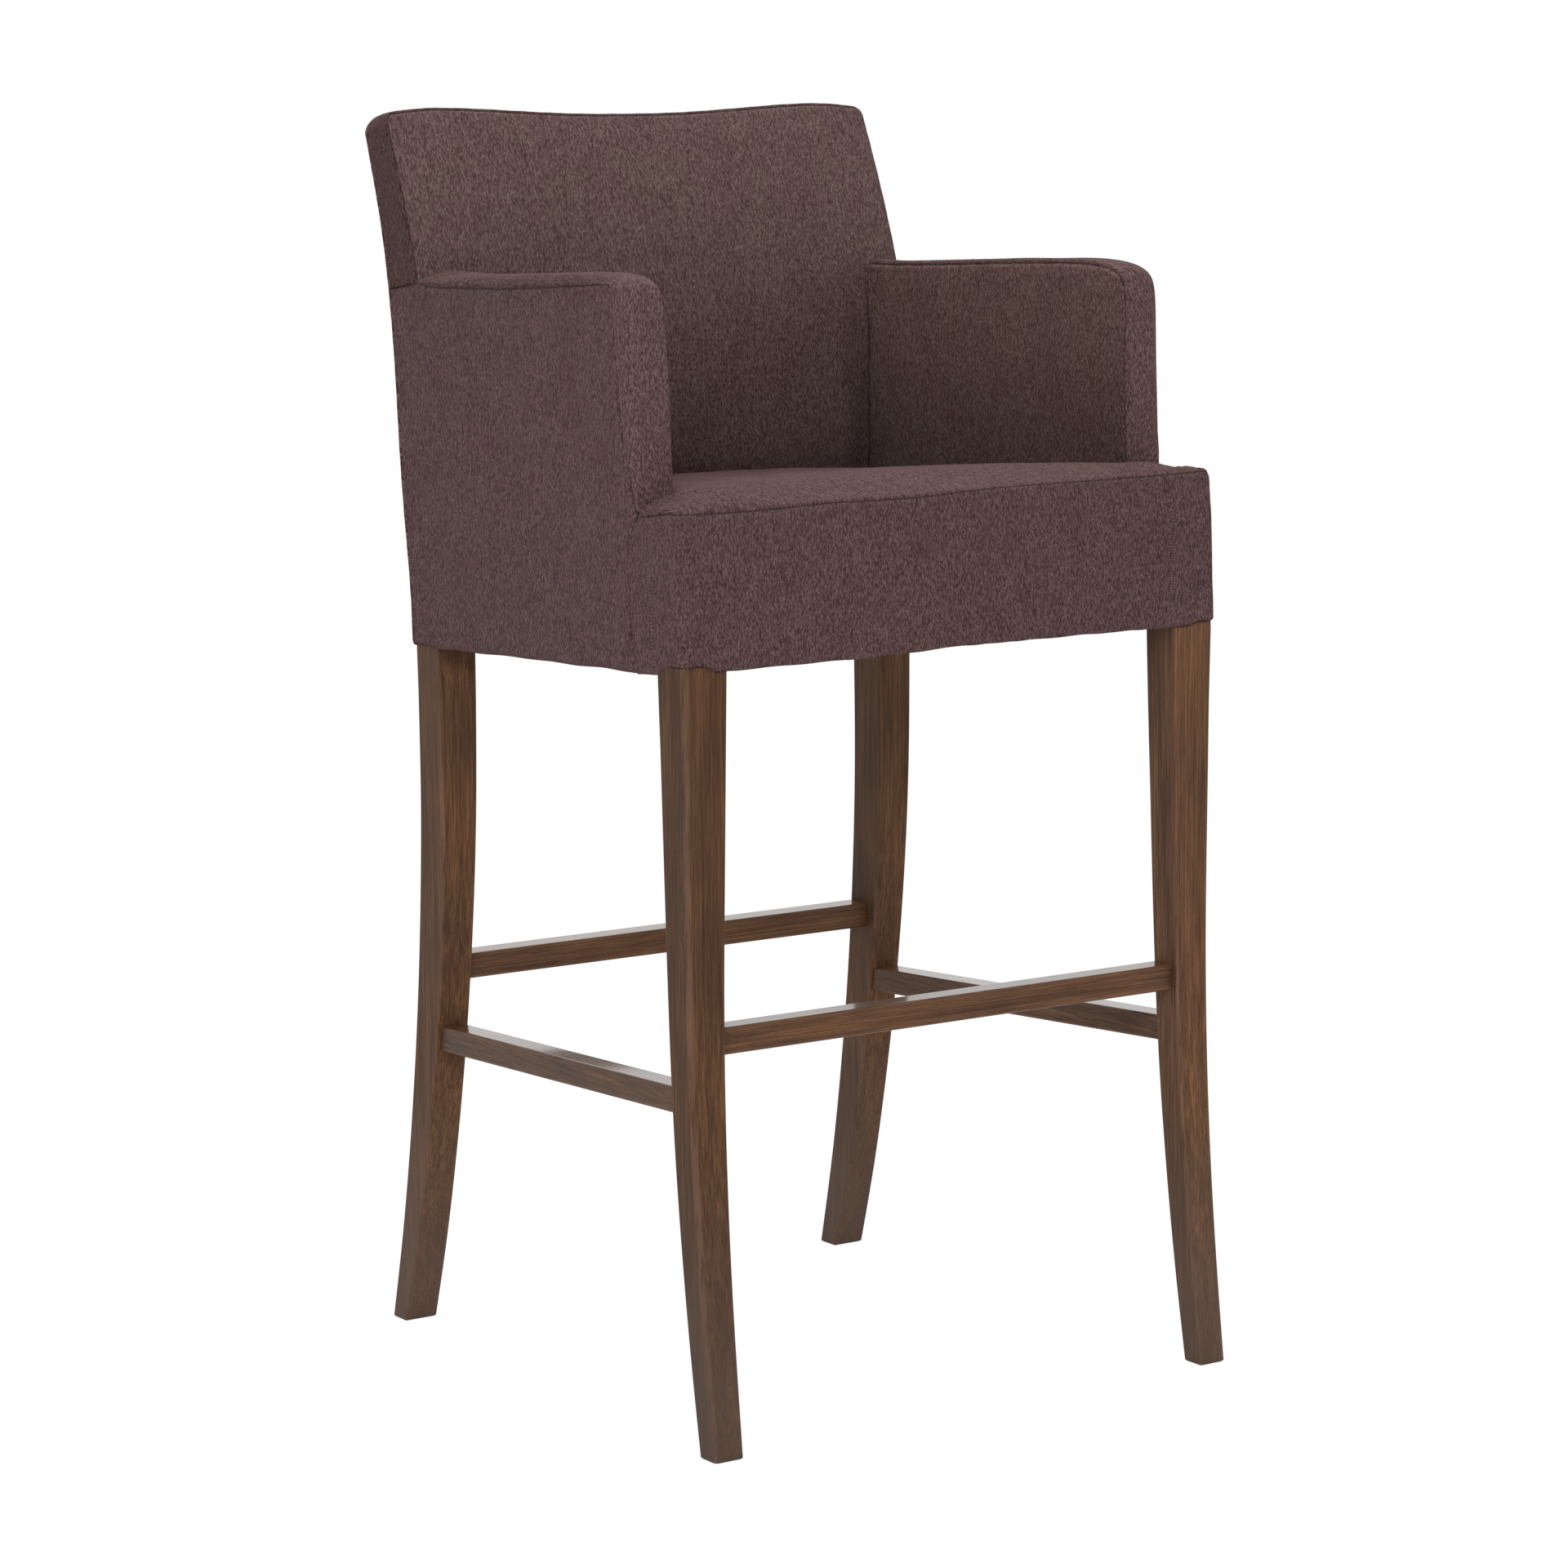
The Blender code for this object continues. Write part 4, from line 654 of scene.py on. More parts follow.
# Painted shade: thread far darker than the cloth, used for the stitches and the allowance tube, so
# the seams read as shaded grooves with dark needle holes
thread_and_seam_shade_mat = plain_weave("seam_thread_painted_shade", (0.030, 0.018, 0.018), 9000.0)
bar_look = dict(gloss=0.25, shine=0.15, relief=0.06, polish=0.9)
bar_wood_x = wood_material("walnut_stain_cross", "x", bar_stain, 1.22, 3.1, **bar_look)
bar_wood_y = wood_material("walnut_stain_side", "y", bar_stain, 1.05, 5.3, **bar_look)
plain_wood = {a: wood_material("plain_beech_" + a, a, raw_beech, 1.0, 2.2, gloss=0.5, grain=0.5)
              for a in "xyz"}
web_mat = plain_weave("elastic_webbing", (0.10, 0.085, 0.075), 5200.0)
lining_mat = plain_weave("black_lining", (0.018, 0.018, 0.020), 7400.0, 0.9)
steel_mat = steel_material("zinc_plated_steel")


# Hem
def hem_at(x, v, front=False):
    """Height of the hem: raised where it arches over a leg."""
    across, v = np.abs(np.asarray(x, float)), np.asarray(v, float)
    over_front = front_arch * smoothstep(v, *front_arch_v) * smoothstep(across, *front_arch_x)
    over_rear = rear_arch * smoothstep(v, *rear_arch_v)
    at_front = front_hem_low + front_hem_more * smoothstep(x, *front_hem_x)
    flat = np.where(v < front_face + front_hem_deep, at_front, 0.0) if front else 0.0
    wave = (hem_wave_v[0] * np.sin(v * math.tau / hem_wave_v[1])
            + hem_wave_x[0] * np.sin(across * math.tau / hem_wave_x[1] + 0.6))
    return hem + np.maximum(flat, np.maximum(over_front, over_rear)) + wave


def turn_under(p, low, near_leg, place):
    """Lift a panel's lowest row and add the rows that turn in under the hem, clear of the legs.

    place gives the points at a distance inward and a height."""
    under = []
    for turn, inward in hem_turns:
        a = math.radians(turn)
        more = hem_roll * (1 - math.cos(a)) + inward * (1 - near_leg)
        under.append(place(more, low + hem_roll - hem_roll * math.sin(a)))
    p[0] = place(0, low + hem_roll)
    return np.concatenate([np.array(under[::-1]), p], 0)


def hem_uv(along, w):
    """Weave coordinates of a panel and its rows under the hem."""
    under = np.stack([along[:1], w[:1] - under_uv], -1).repeat(len(hem_turns), 0)
    return np.concatenate([under, np.stack([along, w], -1)], 0)


# Front band
def seam_at(x, v):
    """Height of the seam round the seat: level with the arm seam's foot beside the arms."""
    front = natural(seat_seam_x, seat_seam_w, np.clip(x, seat_seam_x[0], seat_seam_x[-1]))
    beside = between(np.abs(x), *beside_x) * smoothstep(v, *beside_v)
    return front * (1 - beside) + junction[1] * beside


def edge_inset(w, seam):
    """How far the band steps in at a height, just under the seam."""
    return edge_step * between(w, seam - edge_rise, seam) ** 2


def edge_pull(v):
    """How far the seat's edge is pulled in all round, in front of the arms."""
    return edge_pulled * smoothstep(v, *pull_v)


def base_outline(share, v_end, inset):
    """Point on the plan outline: share runs from the left seam round the front to the right."""
    turn_v = front_face + corner_radius
    r = np.maximum(corner_radius - inset, least_radius)
    wide = side_x(turn_v) - inset
    on_side, on_arc = v_end - turn_v, r * math.pi / 2
    total = 2 * (on_side + on_arc + wide - r)
    d = share * total
    mirror = d > total / 2
    d = np.where(mirror, total - d, d)
    a = (d - on_side) / r
    x = np.where(d < on_side + on_arc, wide - r * (1 - np.cos(a)),
                 wide - r - (d - on_side - on_arc))
    v = np.where(d < on_side + on_arc, turn_v - np.sin(a) * (turn_v - front_face - inset),
                 front_face + inset)
    x = np.where(d < on_side, side_x(v_end - d) - inset, x)
    return np.where(mirror, x, -x), np.where(d < on_side, v_end - d, v)


band_side = 0.0666


def front_band():
    total = 2 * (band_side + corner_radius * math.pi / 2 + front_half - corner_radius)
    share, up = np.meshgrid(spaced(total, strip_step), spaced(seat_seam - hem, first=False))
    line = np.array(band_line)
    w = hem + (seat_seam - hem) * up
    inset = np.zeros_like(w)
    for _ in range(3):
        v_end = natural(line[:, 1], line[:, 0], np.clip(w[:, :1], line[0, 1], line[-1, 1]))
        x, v = base_outline(share, v_end, inset)
        low, seam = hem_at(x, v, True), seam_at(x, v)
        w = low + (seam - low) * up
        inset = edge_inset(w, seam) + edge_pull(v) * smoothstep(w, *pull_w)
    near_leg = smoothstep(np.abs(x[0]), *front_leg_x) * smoothstep(v[0], *front_leg_v[::-1])
    return turn_under(world(x, v, w), w[0], near_leg,
                      lambda inward, z: world(*base_outline(share[0], v_end[0], inward), z))


band = sewn_panel("front_band_panel", front_band(), body_cloth, ("front_band_cover", "front_pad"),
                  0.9, "lrt", "lrtb", ease=0.0005, cap=0.0020, soft="t")


# Seat panel
def plan_inset(x, v):
    """Distance inside the rounded plan outline."""
    from_side = (side_x(v) - np.abs(x)) / math.sqrt(1 + taper * taper)
    from_front = v - front_face
    away = np.hypot(corner_radius - from_side, corner_radius - from_front)
    in_corner = (from_side < corner_radius) & (from_front < corner_radius)
    return np.where(in_corner, corner_radius - away, np.minimum(from_side, from_front))


def seat_height(x, v):
    """The seat rolls up from its seam, wider at the left, and falls toward the back."""
    inset = np.maximum(plan_inset(x, v) - edge_pull(v), 0)
    a = between(inset - edge_step, 0, roll_left - roll_less * smoothstep(x, *roll_x))
    seam = seam_at(x, v)
    w = seam + (seat_plateau - seam) * np.sqrt(1 - (1 - a) ** 2)
    inner = np.minimum(inset, crown_reach)
    right = smoothstep(x, *crown_right_x)
    w = w + (1 - right) * natural(crown_insets, crown_left, inner)
    w = w + right * natural(crown_insets, crown_right, inner)
    return w - seat_fall * smoothstep(v, *seat_fall_v)


def seat_panel():
    deep = seat_back_v - front_face
    s, down = np.meshgrid(spaced(2 * front_half) * 2 - 1, spaced(deep, last=False))
    v = front_face + edge_step + down * (deep - edge_step)
    border = edge_step + edge_pull(v)
    v = v + edge_pull(v) * smoothstep(v, -0.20, -0.26)
    x = s * (side_x(v) - border)
    # pull the corner points in to the rounded border
    for _ in range(3):
        short = np.maximum(border - plan_inset(x, v), 0)
        dx = np.sign(x) * (side_x(v) - corner_radius) - x
        dv = front_face + corner_radius - v
        size = np.maximum(np.hypot(dx, dv), tiny)
        x, v = x + dx / size * short, v + dv / size * short
    from_arm = side_x(v) - arm_thickness - np.abs(x)
    w = seat_height(x, v) - back_dip * between(v, *back_dip_v) ** 2
    w = w - arm_dip * between(from_arm, arm_dip_wide, 0) ** 2 * (v > arm_dip_v)
    trim = (from_arm < -seat_under_arm) & (v > seat_under_arm_v)
    return world(x, v, w), trim, np.stack([x, v], -1)


p, trim, uv = seat_panel()
sewn_panel("seat_panel", p, body_cloth, ("seat_cover", "seat_foam"), 0.85, "lrb", "lrb",
           ease=0.0007, cap=0.0020, soft="b", trim=trim, uv=uv)


# Arms
arm_outline = smooth_line(arm_points, 600, 2)
round_w, inner_low_w, inner_back_v = (0.7600, 0.7700), 0.751, 0.160
sink, sink_v, sink_w, sink_end_v = 0.0016, (-0.03, -0.19), (0.86, 0.95), (0.11, 0.155)
strip_low, strip_low_w = 0.003, (0.760, 0.753)
fall_top, fall_deep, fall_v, fall_right = 0.9553, 0.0085, (0.045, 0.150), 0.25
strip_span, strip_rows_step, strip_hollow = 0.036, 0.0026, 0.0006
straight_rows, inner_rows = 6, 5
inner_corner, inner_hidden, inner_gap = (-0.2030, 0.9420), 0.006, 0.0005


def arm_front_v(w):
    """Front of the arm at a height."""
    rising = arm_outline[:, 1] < arm_front_top_w
    return np.interp(w, arm_outline[rising, 1], arm_outline[rising, 0])


def round_share(w):
    """How much of the arm's rounding a height has: none on the seat's base below it."""
    return smoothstep(w, *round_w)


def in_rounding(v, w):
    """How far a place lies in front of the flat side, in the rounding of the front corner."""
    inset = np.where(w < arm_bend_w, v - arm_front_v(w), 1.0)
    return np.clip(arm_outer - inset, 0, arm_outer)


def onto_rounding(line):
    """Slide a seam along the sight line onto the rounded corner of the arm."""
    v, w = line[:, 0], line[:, 1]
    less = in_rounding(v, w)
    a = view_depth ** 2 + view_back ** 2
    b = arm_outer * view_depth + less * view_back
    go = (b - np.sqrt(np.maximum(b * b - a * less ** 2, 0))) / a
    return np.stack([v + view_back * go * round_share(w), w], -1)


side_front_line = onto_rounding(smooth_line(band_line + arm_seam[1:] + [seam_corner], 500))
side_top_line = smooth_line([seam_corner] + arm_seam_top + [arm_tip], 500)


def nearest_share(line, point):
    return np.argmin(np.linalg.norm(line - np.array(point), axis=1)) / (len(line) - 1)


def settle(sign, v, w):
    """The right arm's top has sunk a little toward its front."""
    if sign < 0:
        return w
    drop = sink * (1 + smoothstep(v, *sink_v)) * (1 - 0.8 * smoothstep(v, *sink_end_v))
    return w - drop * smoothstep(w, *sink_w)


def arm_depth(w):
    """How thick the arm is at a height."""
    return arm_thickness - arm_thinning * smoothstep(w, *arm_thinning_w)


def arm_strip(sign):
    """Front and top of an arm: rows run from the outer seam round to the inner one."""
    above = side_front_line[side_front_line[:, 1] > junction[1]]
    seam = resample(np.concatenate([[strip_foot], above, side_top_line[1:]]),
                    np.linspace(0, 1, 1200))
    shares = spaced(curve_length(arm_outline), strip_step, first=False, last=False)
    on_outline = [nearest_share(arm_outline, q) for q, _ in strip_knots]
    on_seam = [nearest_share(seam, q) for _, q in strip_knots]
    seam_share = np.interp(shares, [0] + on_outline + [1], [0] + on_seam + [1])
    at_corner = nearest_share(seam, seam_corner)
    seam_share[np.argmin(np.abs(seam_share - at_corner))] = at_corner
    c, s = resample(arm_outline, shares), resample(seam, seam_share)
    inward, even = outline_normals(arm_outline), np.linspace(0, 1, len(arm_outline))
    n = np.stack([np.interp(shares, even, inward[:, k]) for k in (0, 1)], -1)
    low = strip_low * smoothstep(c[:, 1], *strip_low_w)
    rise = smoothstep(c[:, 0], *fall_v)[:, None] * (1.0 if sign < 0 else fall_right)
    thick = arm_depth(c[:, 1])

    def fall(depth):
        """The strip's place near the back, where its top is evenly round."""
        drop = fall_deep * (1 - (1 - depth / arm_thickness) ** 2)
        return np.stack([c[:, 0], fall_top + drop], -1)

    # round the outer corner, starting on it where the seam lies on it
    bent = s[:, 1] < arm_bend_w
    inset_s = np.where(bent, s[:, 0] - arm_front_v(s[:, 1]), ((s - c) * n).sum(1))
    inset_s = np.maximum(inset_s, 0)
    start = np.arcsin(1 - np.minimum(inset_s, arm_outer) / arm_outer)
    straight = np.maximum(inset_s - arm_outer, 0)
    total = straight + arm_outer * (math.pi / 2 - start)
    proud = arm_outer * (1 - np.cos(start)) * ~bent
    miss = s - (c + n * inset_s[:, None])
    rows = []
    for share in spaced(strip_span, strip_rows_step, last=False):
        gone, left = share * total, 1 - share
        angle = start + np.maximum(gone - straight, 0) / arm_outer
        inset = np.where(gone < straight, inset_s - gone, arm_outer * (1 - np.sin(angle)))
        depth = low + arm_outer * (1 - np.cos(angle)) - proud * left ** 2
        q = c + n * inset[:, None] + miss * left ** 2
        risen = fall(depth) + (s - fall(low)) * left ** 6
        rows.append((q * (1 - rise) + risen * rise, depth))
    for t in np.linspace(0, 1, straight_rows + 1)[1:]:
        depth = arm_outer + (thick - arm_outer - arm_inner) * t + low * (1 - t)
        hollow = n * strip_hollow * math.sin(math.pi * t)
        rows.append(((c - hollow) * (1 - rise) + fall(depth) * rise, depth))
    for k in range(inner_rows):
        a = arm_inner_turn * (k + 1) / inner_rows
        depth = thick - arm_inner + arm_inner * math.sin(a)
        ease = n * arm_inner * (1 - math.cos(a))
        rows.append(((c + ease) * (1 - rise) + (fall(depth) + ease) * rise, depth))
    grid = [world(sign * (side_x(q[:, 0]) - d), q[:, 0], settle(sign, q[:, 0], q[:, 1]))
            for q, d in rows]
    return np.array(grid), rows[-1][0]


strips, inner_rim = {}, {}
for side, sign in sides:
    grid, inner_rim[side] = arm_strip(sign)
    left, _, bottom, _ = border_distances(grid)
    strips[side] = sewn_panel("arm_boxing_" + side, grid, strip_cloth,
                              ("arm_strip_" + side, "arm_foam_" + side), 0.8, "bt", "bt",
                              ease=0.0003, flip=sign < 0, uv=np.stack([bottom, left], -1))


def arm_inner_panel(rim, sign):
    """Inner face of an arm; its border is the strip's last row."""
    rim = rim[(rim[:, 1] > inner_low_w + inner_hidden) & (rim[:, 0] < inner_back_v - inner_gap)]
    k = int(np.argmin(np.linalg.norm(rim - np.array(inner_corner), axis=1)))
    left, top = rim[:k + 1], rim[k:]
    foot = [inner_back_v, inner_low_w]
    u = spaced(curve_length(top), last=False)
    t = spaced(curve_length(left), first=False)
    grid = coons(resample([left[0], foot], u), resample(top, u), resample(left, t),
                 resample([foot, top[-1]], t))
    v, w = grid[..., 0], grid[..., 1]
    far = border_distances(grid)
    edge = between(np.minimum(far[0], far[3]), arm_inner, 0)
    depth = arm_depth(w) - arm_inner * (1 - math.sin(arm_inner_turn)) * edge ** 2
    return world(sign * (side_x(v) - depth), v, settle(sign, v, w)), grid


for side, sign in sides:
    p, uv = arm_inner_panel(inner_rim[side], sign)
    sewn_panel("arm_inner_panel_" + side, p, inner_cloth, ("arm_inner_cover_" + side,), 0.7,
               "lt", "ltbr", cap=0.0014, flip=sign > 0, uv=uv)


# Outer side panels
side_end_w = 0.9495
side_low, side_low_corner, side_low_wide, side_low_tall = 0.0008, 0.003, 0.005, 0.06


def side_panel(sign):
    front = side_front_line
    end_v = rear_v(side_end_w) - rear_edge
    rear_w = np.linspace(hem, arm_tip[1] - crease_fall * (end_v - arm_tip[0]), 80)
    rear = np.stack([rear_v(rear_w) - rear_edge, rear_w], -1)
    top = np.concatenate([side_top_line, rear[-1:]])
    u, t = spaced(curve_length(top)), spaced(curve_length(front), first=False)
    grid = coons(resample([front[0], rear[0]], u), resample(top, u), resample(front, t),
                 resample(rear, t))
    v, w = grid[..., 0], grid[..., 1]
    corner = between(v, rear[0, 0] - side_low_wide, rear[0, 0]) ** 2
    low = hem_at(side_x(v), v) + side_low + side_low_corner * corner
    high = hem + side_low_tall
    w = settle(sign, v, np.where(w < high, low + (w - hem) * (high - low) / side_low_tall, w))
    near_leg = np.maximum(smoothstep(v[0], *rear_leg_v), smoothstep(v[0], *front_leg_v[::-1]))
    p = turn_under(world(sign * (side_x(v) - side_depth(v, w)), v, w), w[0], near_leg,
                   lambda inward, z: world(sign * (side_x(v[0]) - inward), v[0], z))
    return p, hem_uv(v, w)


def side_depth(v, w):
    """How far the side lies inside its flat, round the arm's front corner."""
    return round_share(w) * (arm_outer - np.sqrt(arm_outer ** 2 - in_rounding(v, w) ** 2))


side_data = {}
for side, sign in sides:
    p, uv = side_panel(sign)
    side_data[side] = sewn_panel("side_panel_" + side, p, side_cloth,
                                 ("side_cover_" + side, "side_pad_" + side), 0.6, "lrt", "lrtb",
                                 cap=0.0020, flip=sign < 0, uv=uv)


# Back
half_ref = float(side_x(0.19))
seam_inset = back_edge * (1 - math.sin(math.radians(45)))
seam_turn = math.radians(45)
fine_step, low_front_w, side_rows, low_side = 0.0006, 0.752, 60, 0.04
bead_x = (-0.007, -0.005, -0.0035, -0.002, -0.001, 0.0, 0.001, 0.002, 0.003, 0.0045)
bead_middle_x, bead_tall, bead_broad, bead_w = 0.2190, 0.0040, 0.0026, (0.950, 0.925)
seat_press, seat_press_w = 0.003, (0.790, 0.772)
arm_press, arm_press_wide, arm_press_w = 0.0110, 0.040, (0.945, 0.790)
front_roll, tuck = 0.0055, 0.006


def top_drop(x, half, radius):
    """How far the back's top edge lies below its highest line."""
    x = np.abs(x)
    d = between(x, half - radius, half)
    return (natural(top_shares, top_drops, np.minimum(x / half, 1.0))
            + radius * (1 - np.sqrt(np.maximum(1 - d * d, 0))))


def rim_line(low, radius):
    """Front-view rim of the back, from the left side over the top to the right side."""
    turn = np.linspace(0, math.pi / 2, side_rows)
    xs = np.concatenate([-half_ref + radius * (1 - np.cos(turn)),
                         np.linspace(-half_ref + radius, 0, 2 * side_rows)[1:]])
    ws = back_top - top_drop(xs, half_ref, radius)
    side_w = np.linspace(low, ws[0], side_rows)[:-1]
    left = np.stack([np.concatenate([np.full(len(side_w), -half_ref), xs]),
                     np.concatenate([side_w, ws])], -1)
    return np.concatenate([left, left[::-1][1:] * [-1, 1]])


def back_rim(low, step):
    """The rim and its inward normals for a share of the depth, at the same shares throughout."""
    shares = spaced(curve_length(rim_line(low, shoulder_front)), step, first=False, last=False)

    def at(share):
        radius = shoulder_front + (shoulder_rear - shoulder_front) * share
        rim = resample(rim_line(low, radius), shares)
        return rim, outline_normals(rim)
    return at


def rim_point(rim, inward, inset, v):
    """Front-view place of a rim point moved inward, at a depth."""
    behind = v - front_v(rim[:, 1])
    foot = smoothstep(rim[:, 1], rim_low + crease_tall, rim_low)
    fall = behind * (back_slope * smoothstep(rim[:, 1], *back_slope_w) + crease_fall * foot)
    outward = 0.0005 * foot * (inset < 0.001)
    x = (rim[:, 0] + inward[:, 0] * (inset - outward)) * side_x(v) / half_ref
    return x, rim[:, 1] + inward[:, 1] * inset - fall


def back_front_panel():
    rim, inward = back_rim(low_front_w, fine_step)(0.0)
    v = front_v(rim[:, 1]) + seam_inset
    x, w = rim_point(rim, inward, seam_inset, v)
    x = np.where(rim[:, 1] < rim_low + low_side, np.sign(rim[:, 0]) * (side_x(v) - seam_inset), x)
    seam = np.stack([x, w], -1)
    # the corner of the patch lies where the shoulder's arc passes its diagonal
    half = rim[:len(rim) // 2]
    over = (half[:, 0] + half_ref) - (half[:, 1] - (back_top - top_drops[-1] - shoulder_front))
    corner = int(np.argmin(np.abs(over) + 10 * (half[:, 1] < back_slope_w[0])))
    while rim[corner, 0] < -half_ref + shoulder_front * 0.29:
        corner += 1
    left, right = seam[:corner + 1], seam[::-1][:corner + 1]
    top = seam[corner:len(seam) - corner]
    crease = 0.5 + (bead_middle_x + np.array(bead_x)) / (2 * half_ref)
    u = np.unique(np.concatenate([spaced(curve_length(top)), crease, 1 - crease]))
    t = spaced(curve_length(left), first=False)
    grid = coons(resample([seam[0], seam[-1]], u), resample(top, u), resample(left, t),
                 resample(right, t))
    x, w = grid[..., 0], grid[..., 1]
    from_left, from_right, _, from_top = border_distances(grid)
    near = np.minimum(np.minimum(from_left, from_right), from_top)
    v = front_v(w) + seam_inset * between(near, front_roll, 0) ** 2
    arm_x, across = side_x(v) - arm_thickness, np.abs(x)
    trim = (w < arm_top - tuck) & (across > arm_x + tuck)
    # pressed in by the seat, beaded along the arms and pulled back toward them
    v = v + seat_press * between(w, *seat_press_w) ** 2
    v = v + bead_tall * np.exp(-((across - arm_x) / bead_broad) ** 2) * smoothstep(w, *bead_w)
    v = v + (arm_press * smoothstep(across, arm_x - arm_press_wide, arm_x)
             * smoothstep(w, *arm_press_w))
    return world(x, v, w), trim, grid


p, trim, uv = back_front_panel()
sewn_panel("back_front_panel", p, back_cloth, ("back_cover_front", "back_foam_front"), 0.8,
           "lrt", "lrt", ease=0.0007, cap=0.0022, trim=trim, uv=uv)


def back_boxing():
    at = back_rim(rim_low, boxing_step)
    height = at(0.0)[0][:, 1]
    front, rear = front_v(height), rear_v(height)
    rows = []
    for k in range(5):
        a = seam_turn + (math.pi / 2 - seam_turn) * k / 4
        rows.append((back_edge * (1 - math.sin(a)), front + back_edge * (1 - math.cos(a))))
    start, end = front + back_edge, rear - rear_edge
    for t in spaced(0.040, 0.0045, first=False)[1:]:
        rows.append((-0.0010 * math.sin(math.pi * t), start + (end - start) * t))
    grid, mid = [], len(height) // 2
    for inset, v in rows:
        share = np.clip((v[mid] - front[mid]) / (rear - front)[mid], 0, 1)
        x, w = rim_point(*at(float(share)), inset, v)
        grid.append(world(x, v, w))
    return np.array(grid)


grid = back_boxing()
left, _, bottom, _ = border_distances(grid)
boxing = sewn_panel("back_boxing_panel", grid, boxing_cloth, ("back_boxing",), 0.7, "bt", "bt",
                    ease=0.0003, uv=np.stack([bottom, left], -1))

rear_low_tall, rear_low_side, rear_low_corner, rear_corner_wide = 0.03, 0.0020, 0.0030, 0.014
rear_low_x, rear_drop_deep = (0.19, 0.22), 0.0400


def back_rear_panel():
    """Outer back: columns run from the left seam round the corner, across and round the right."""
    corner, full = rear_edge, back_top - hem
    arc = corner * math.pi / 2
    total = 2 * (half_ref - corner) + 2 * arc
    turn = np.linspace(0, arc / total, 7)
    shares = np.unique(np.concatenate([spaced(total, grid_step), turn, 1 - turn]))
    t = np.unique(np.concatenate([spaced(full, first=False), 1 - np.linspace(0, arc / full, 7)]))
    d, up = np.meshgrid(shares * total, t)
    mirrored = d > total / 2
    e = np.where(mirrored, total - d, d)
    a = np.clip(e / corner, 0, math.pi / 2)
    depth = np.where(e < arc, corner * (1 - np.cos(a)), corner + (e - arc))
    ahead = np.where(e < arc, corner * (1 - np.sin(a)), 0.0)
    x = np.where(mirrored, 1, -1) * (1 - depth / half_ref)
    # the same turn over the top edge
    climb = up * full
    over = climb - (full - arc)
    a = np.clip(over / corner, 0, math.pi / 2)
    rise = np.where(over > 0, full - arc + corner * np.sin(a), climb)
    rise = rise * full / (full - arc + corner)
    ahead = np.maximum(ahead, np.where(over > 0, corner * (1 - np.cos(a)), 0.0))
    drop = top_drop(x * half_ref, half_ref, shoulder_rear) + back_slope * rear_drop_deep
    w = hem + rise * (full - drop) / full
    v = rear_v(w) - ahead
    x = x * side_x(v)
    w = w + (rear_low_corner * between(e, rear_corner_wide, 0) ** 2
             * between(climb, rear_low_tall, 0))
    w = w + (rear_low_side * smoothstep(climb, rear_low_tall, 0)
             * smoothstep(np.abs(x), *rear_low_x))
    p = turn_under(world(x, v, w), w[0], smoothstep(np.abs(x[0]), *rear_leg_x),
                   lambda inward, z: world(x[0], v[0] - inward, z))
    return p, hem_uv(x, w)


p, uv = back_rear_panel()
sewn_panel("back_rear_panel", p, side_cloth, ("back_cover_rear", "back_foam_rear"), 0.6,
           "lrt", "lrtb", ease=0.0007, cap=0.0022, flip=True, uv=uv)


# Seams: the turned-in allowance and its thread, both in a dark colour that paints the shade of the
# seam's groove and needle holes
stitch_pitch, stitch_length, stitch_radius = 0.0029, 0.0021, 0.00034
stitch_arch = np.array([-0.0005, 0.0001, 0.0003, 0.0001, -0.0005])[:, None]
allowance_shade_radius, allowance_step = 0.0009, 0.002


def ring_faces(rings, count):
    """Faces of a closed skin through equal rings of points."""
    faces = [(r * count + i, r * count + (i + 1) % count, (r + 1) * count + (i + 1) % count,
              (r + 1) * count + i) for r in range(rings - 1) for i in range(count)]
    last = (rings - 1) * count
    return faces + [tuple(range(count))[::-1], tuple(range(last, last + count))]


def tube(path, normal, radius, count=6):
    """Points and faces of a tube along a path."""
    d = unit(np.gradient(path, axis=0))
    across = unit(np.cross(d, normal))
    up = np.cross(across, d)
    rings = [path + across * radius * math.cos(a) + up * radius * math.sin(a)
             for a in np.linspace(0, math.tau, count, endpoint=False)]
    return np.stack(rings, 1).reshape(-1, 3), ring_faces(len(path), count)


def tubes_object(name, tubes, mat, slot):
    verts, faces = [], []
    for points, around in tubes:
        faces += [tuple(i + len(verts) for i in face) for face in around]
        verts += points.tolist()
    return dress(make_object(name, verts, faces, mats=[mat]), slot)


def seam_piece(name, panel, pick, sunk=0.55):
    """Stitches and allowance along one row or column of a panel, in the dark thread colour that
    paints the seam's shade.
    """
    path, normal = panel[0][pick], panel[1][pick]
    length = curve_length(path)
    shares = np.linspace(0, 1, max(int(length / allowance_step), 4))
    path, gone = resample(path, shares), run_along(path) / length

    def at(line, places, known=shares):
        return np.stack([np.interp(places, known, line[:, k]) for k in range(3)], -1)

    normal = unit(at(normal, shares, gone))
    # Painted shade: the dark allowance tube lies in the groove
    tubes = [tube(path - normal * allowance_shade_radius * sunk, normal, allowance_shade_radius)]
    number = int(length / stitch_pitch)
    half = stitch_length / stitch_pitch / 2
    for i in range(number):
        places = np.linspace((i + 0.5 - half) / number, (i + 0.5 + half) / number, 5)
        m = at(normal, places)
        tubes.append(tube(at(path, places) + m * stitch_arch, m, stitch_radius, 5))
    return tubes_object(name, tubes, thread_and_seam_shade_mat, "cloth")


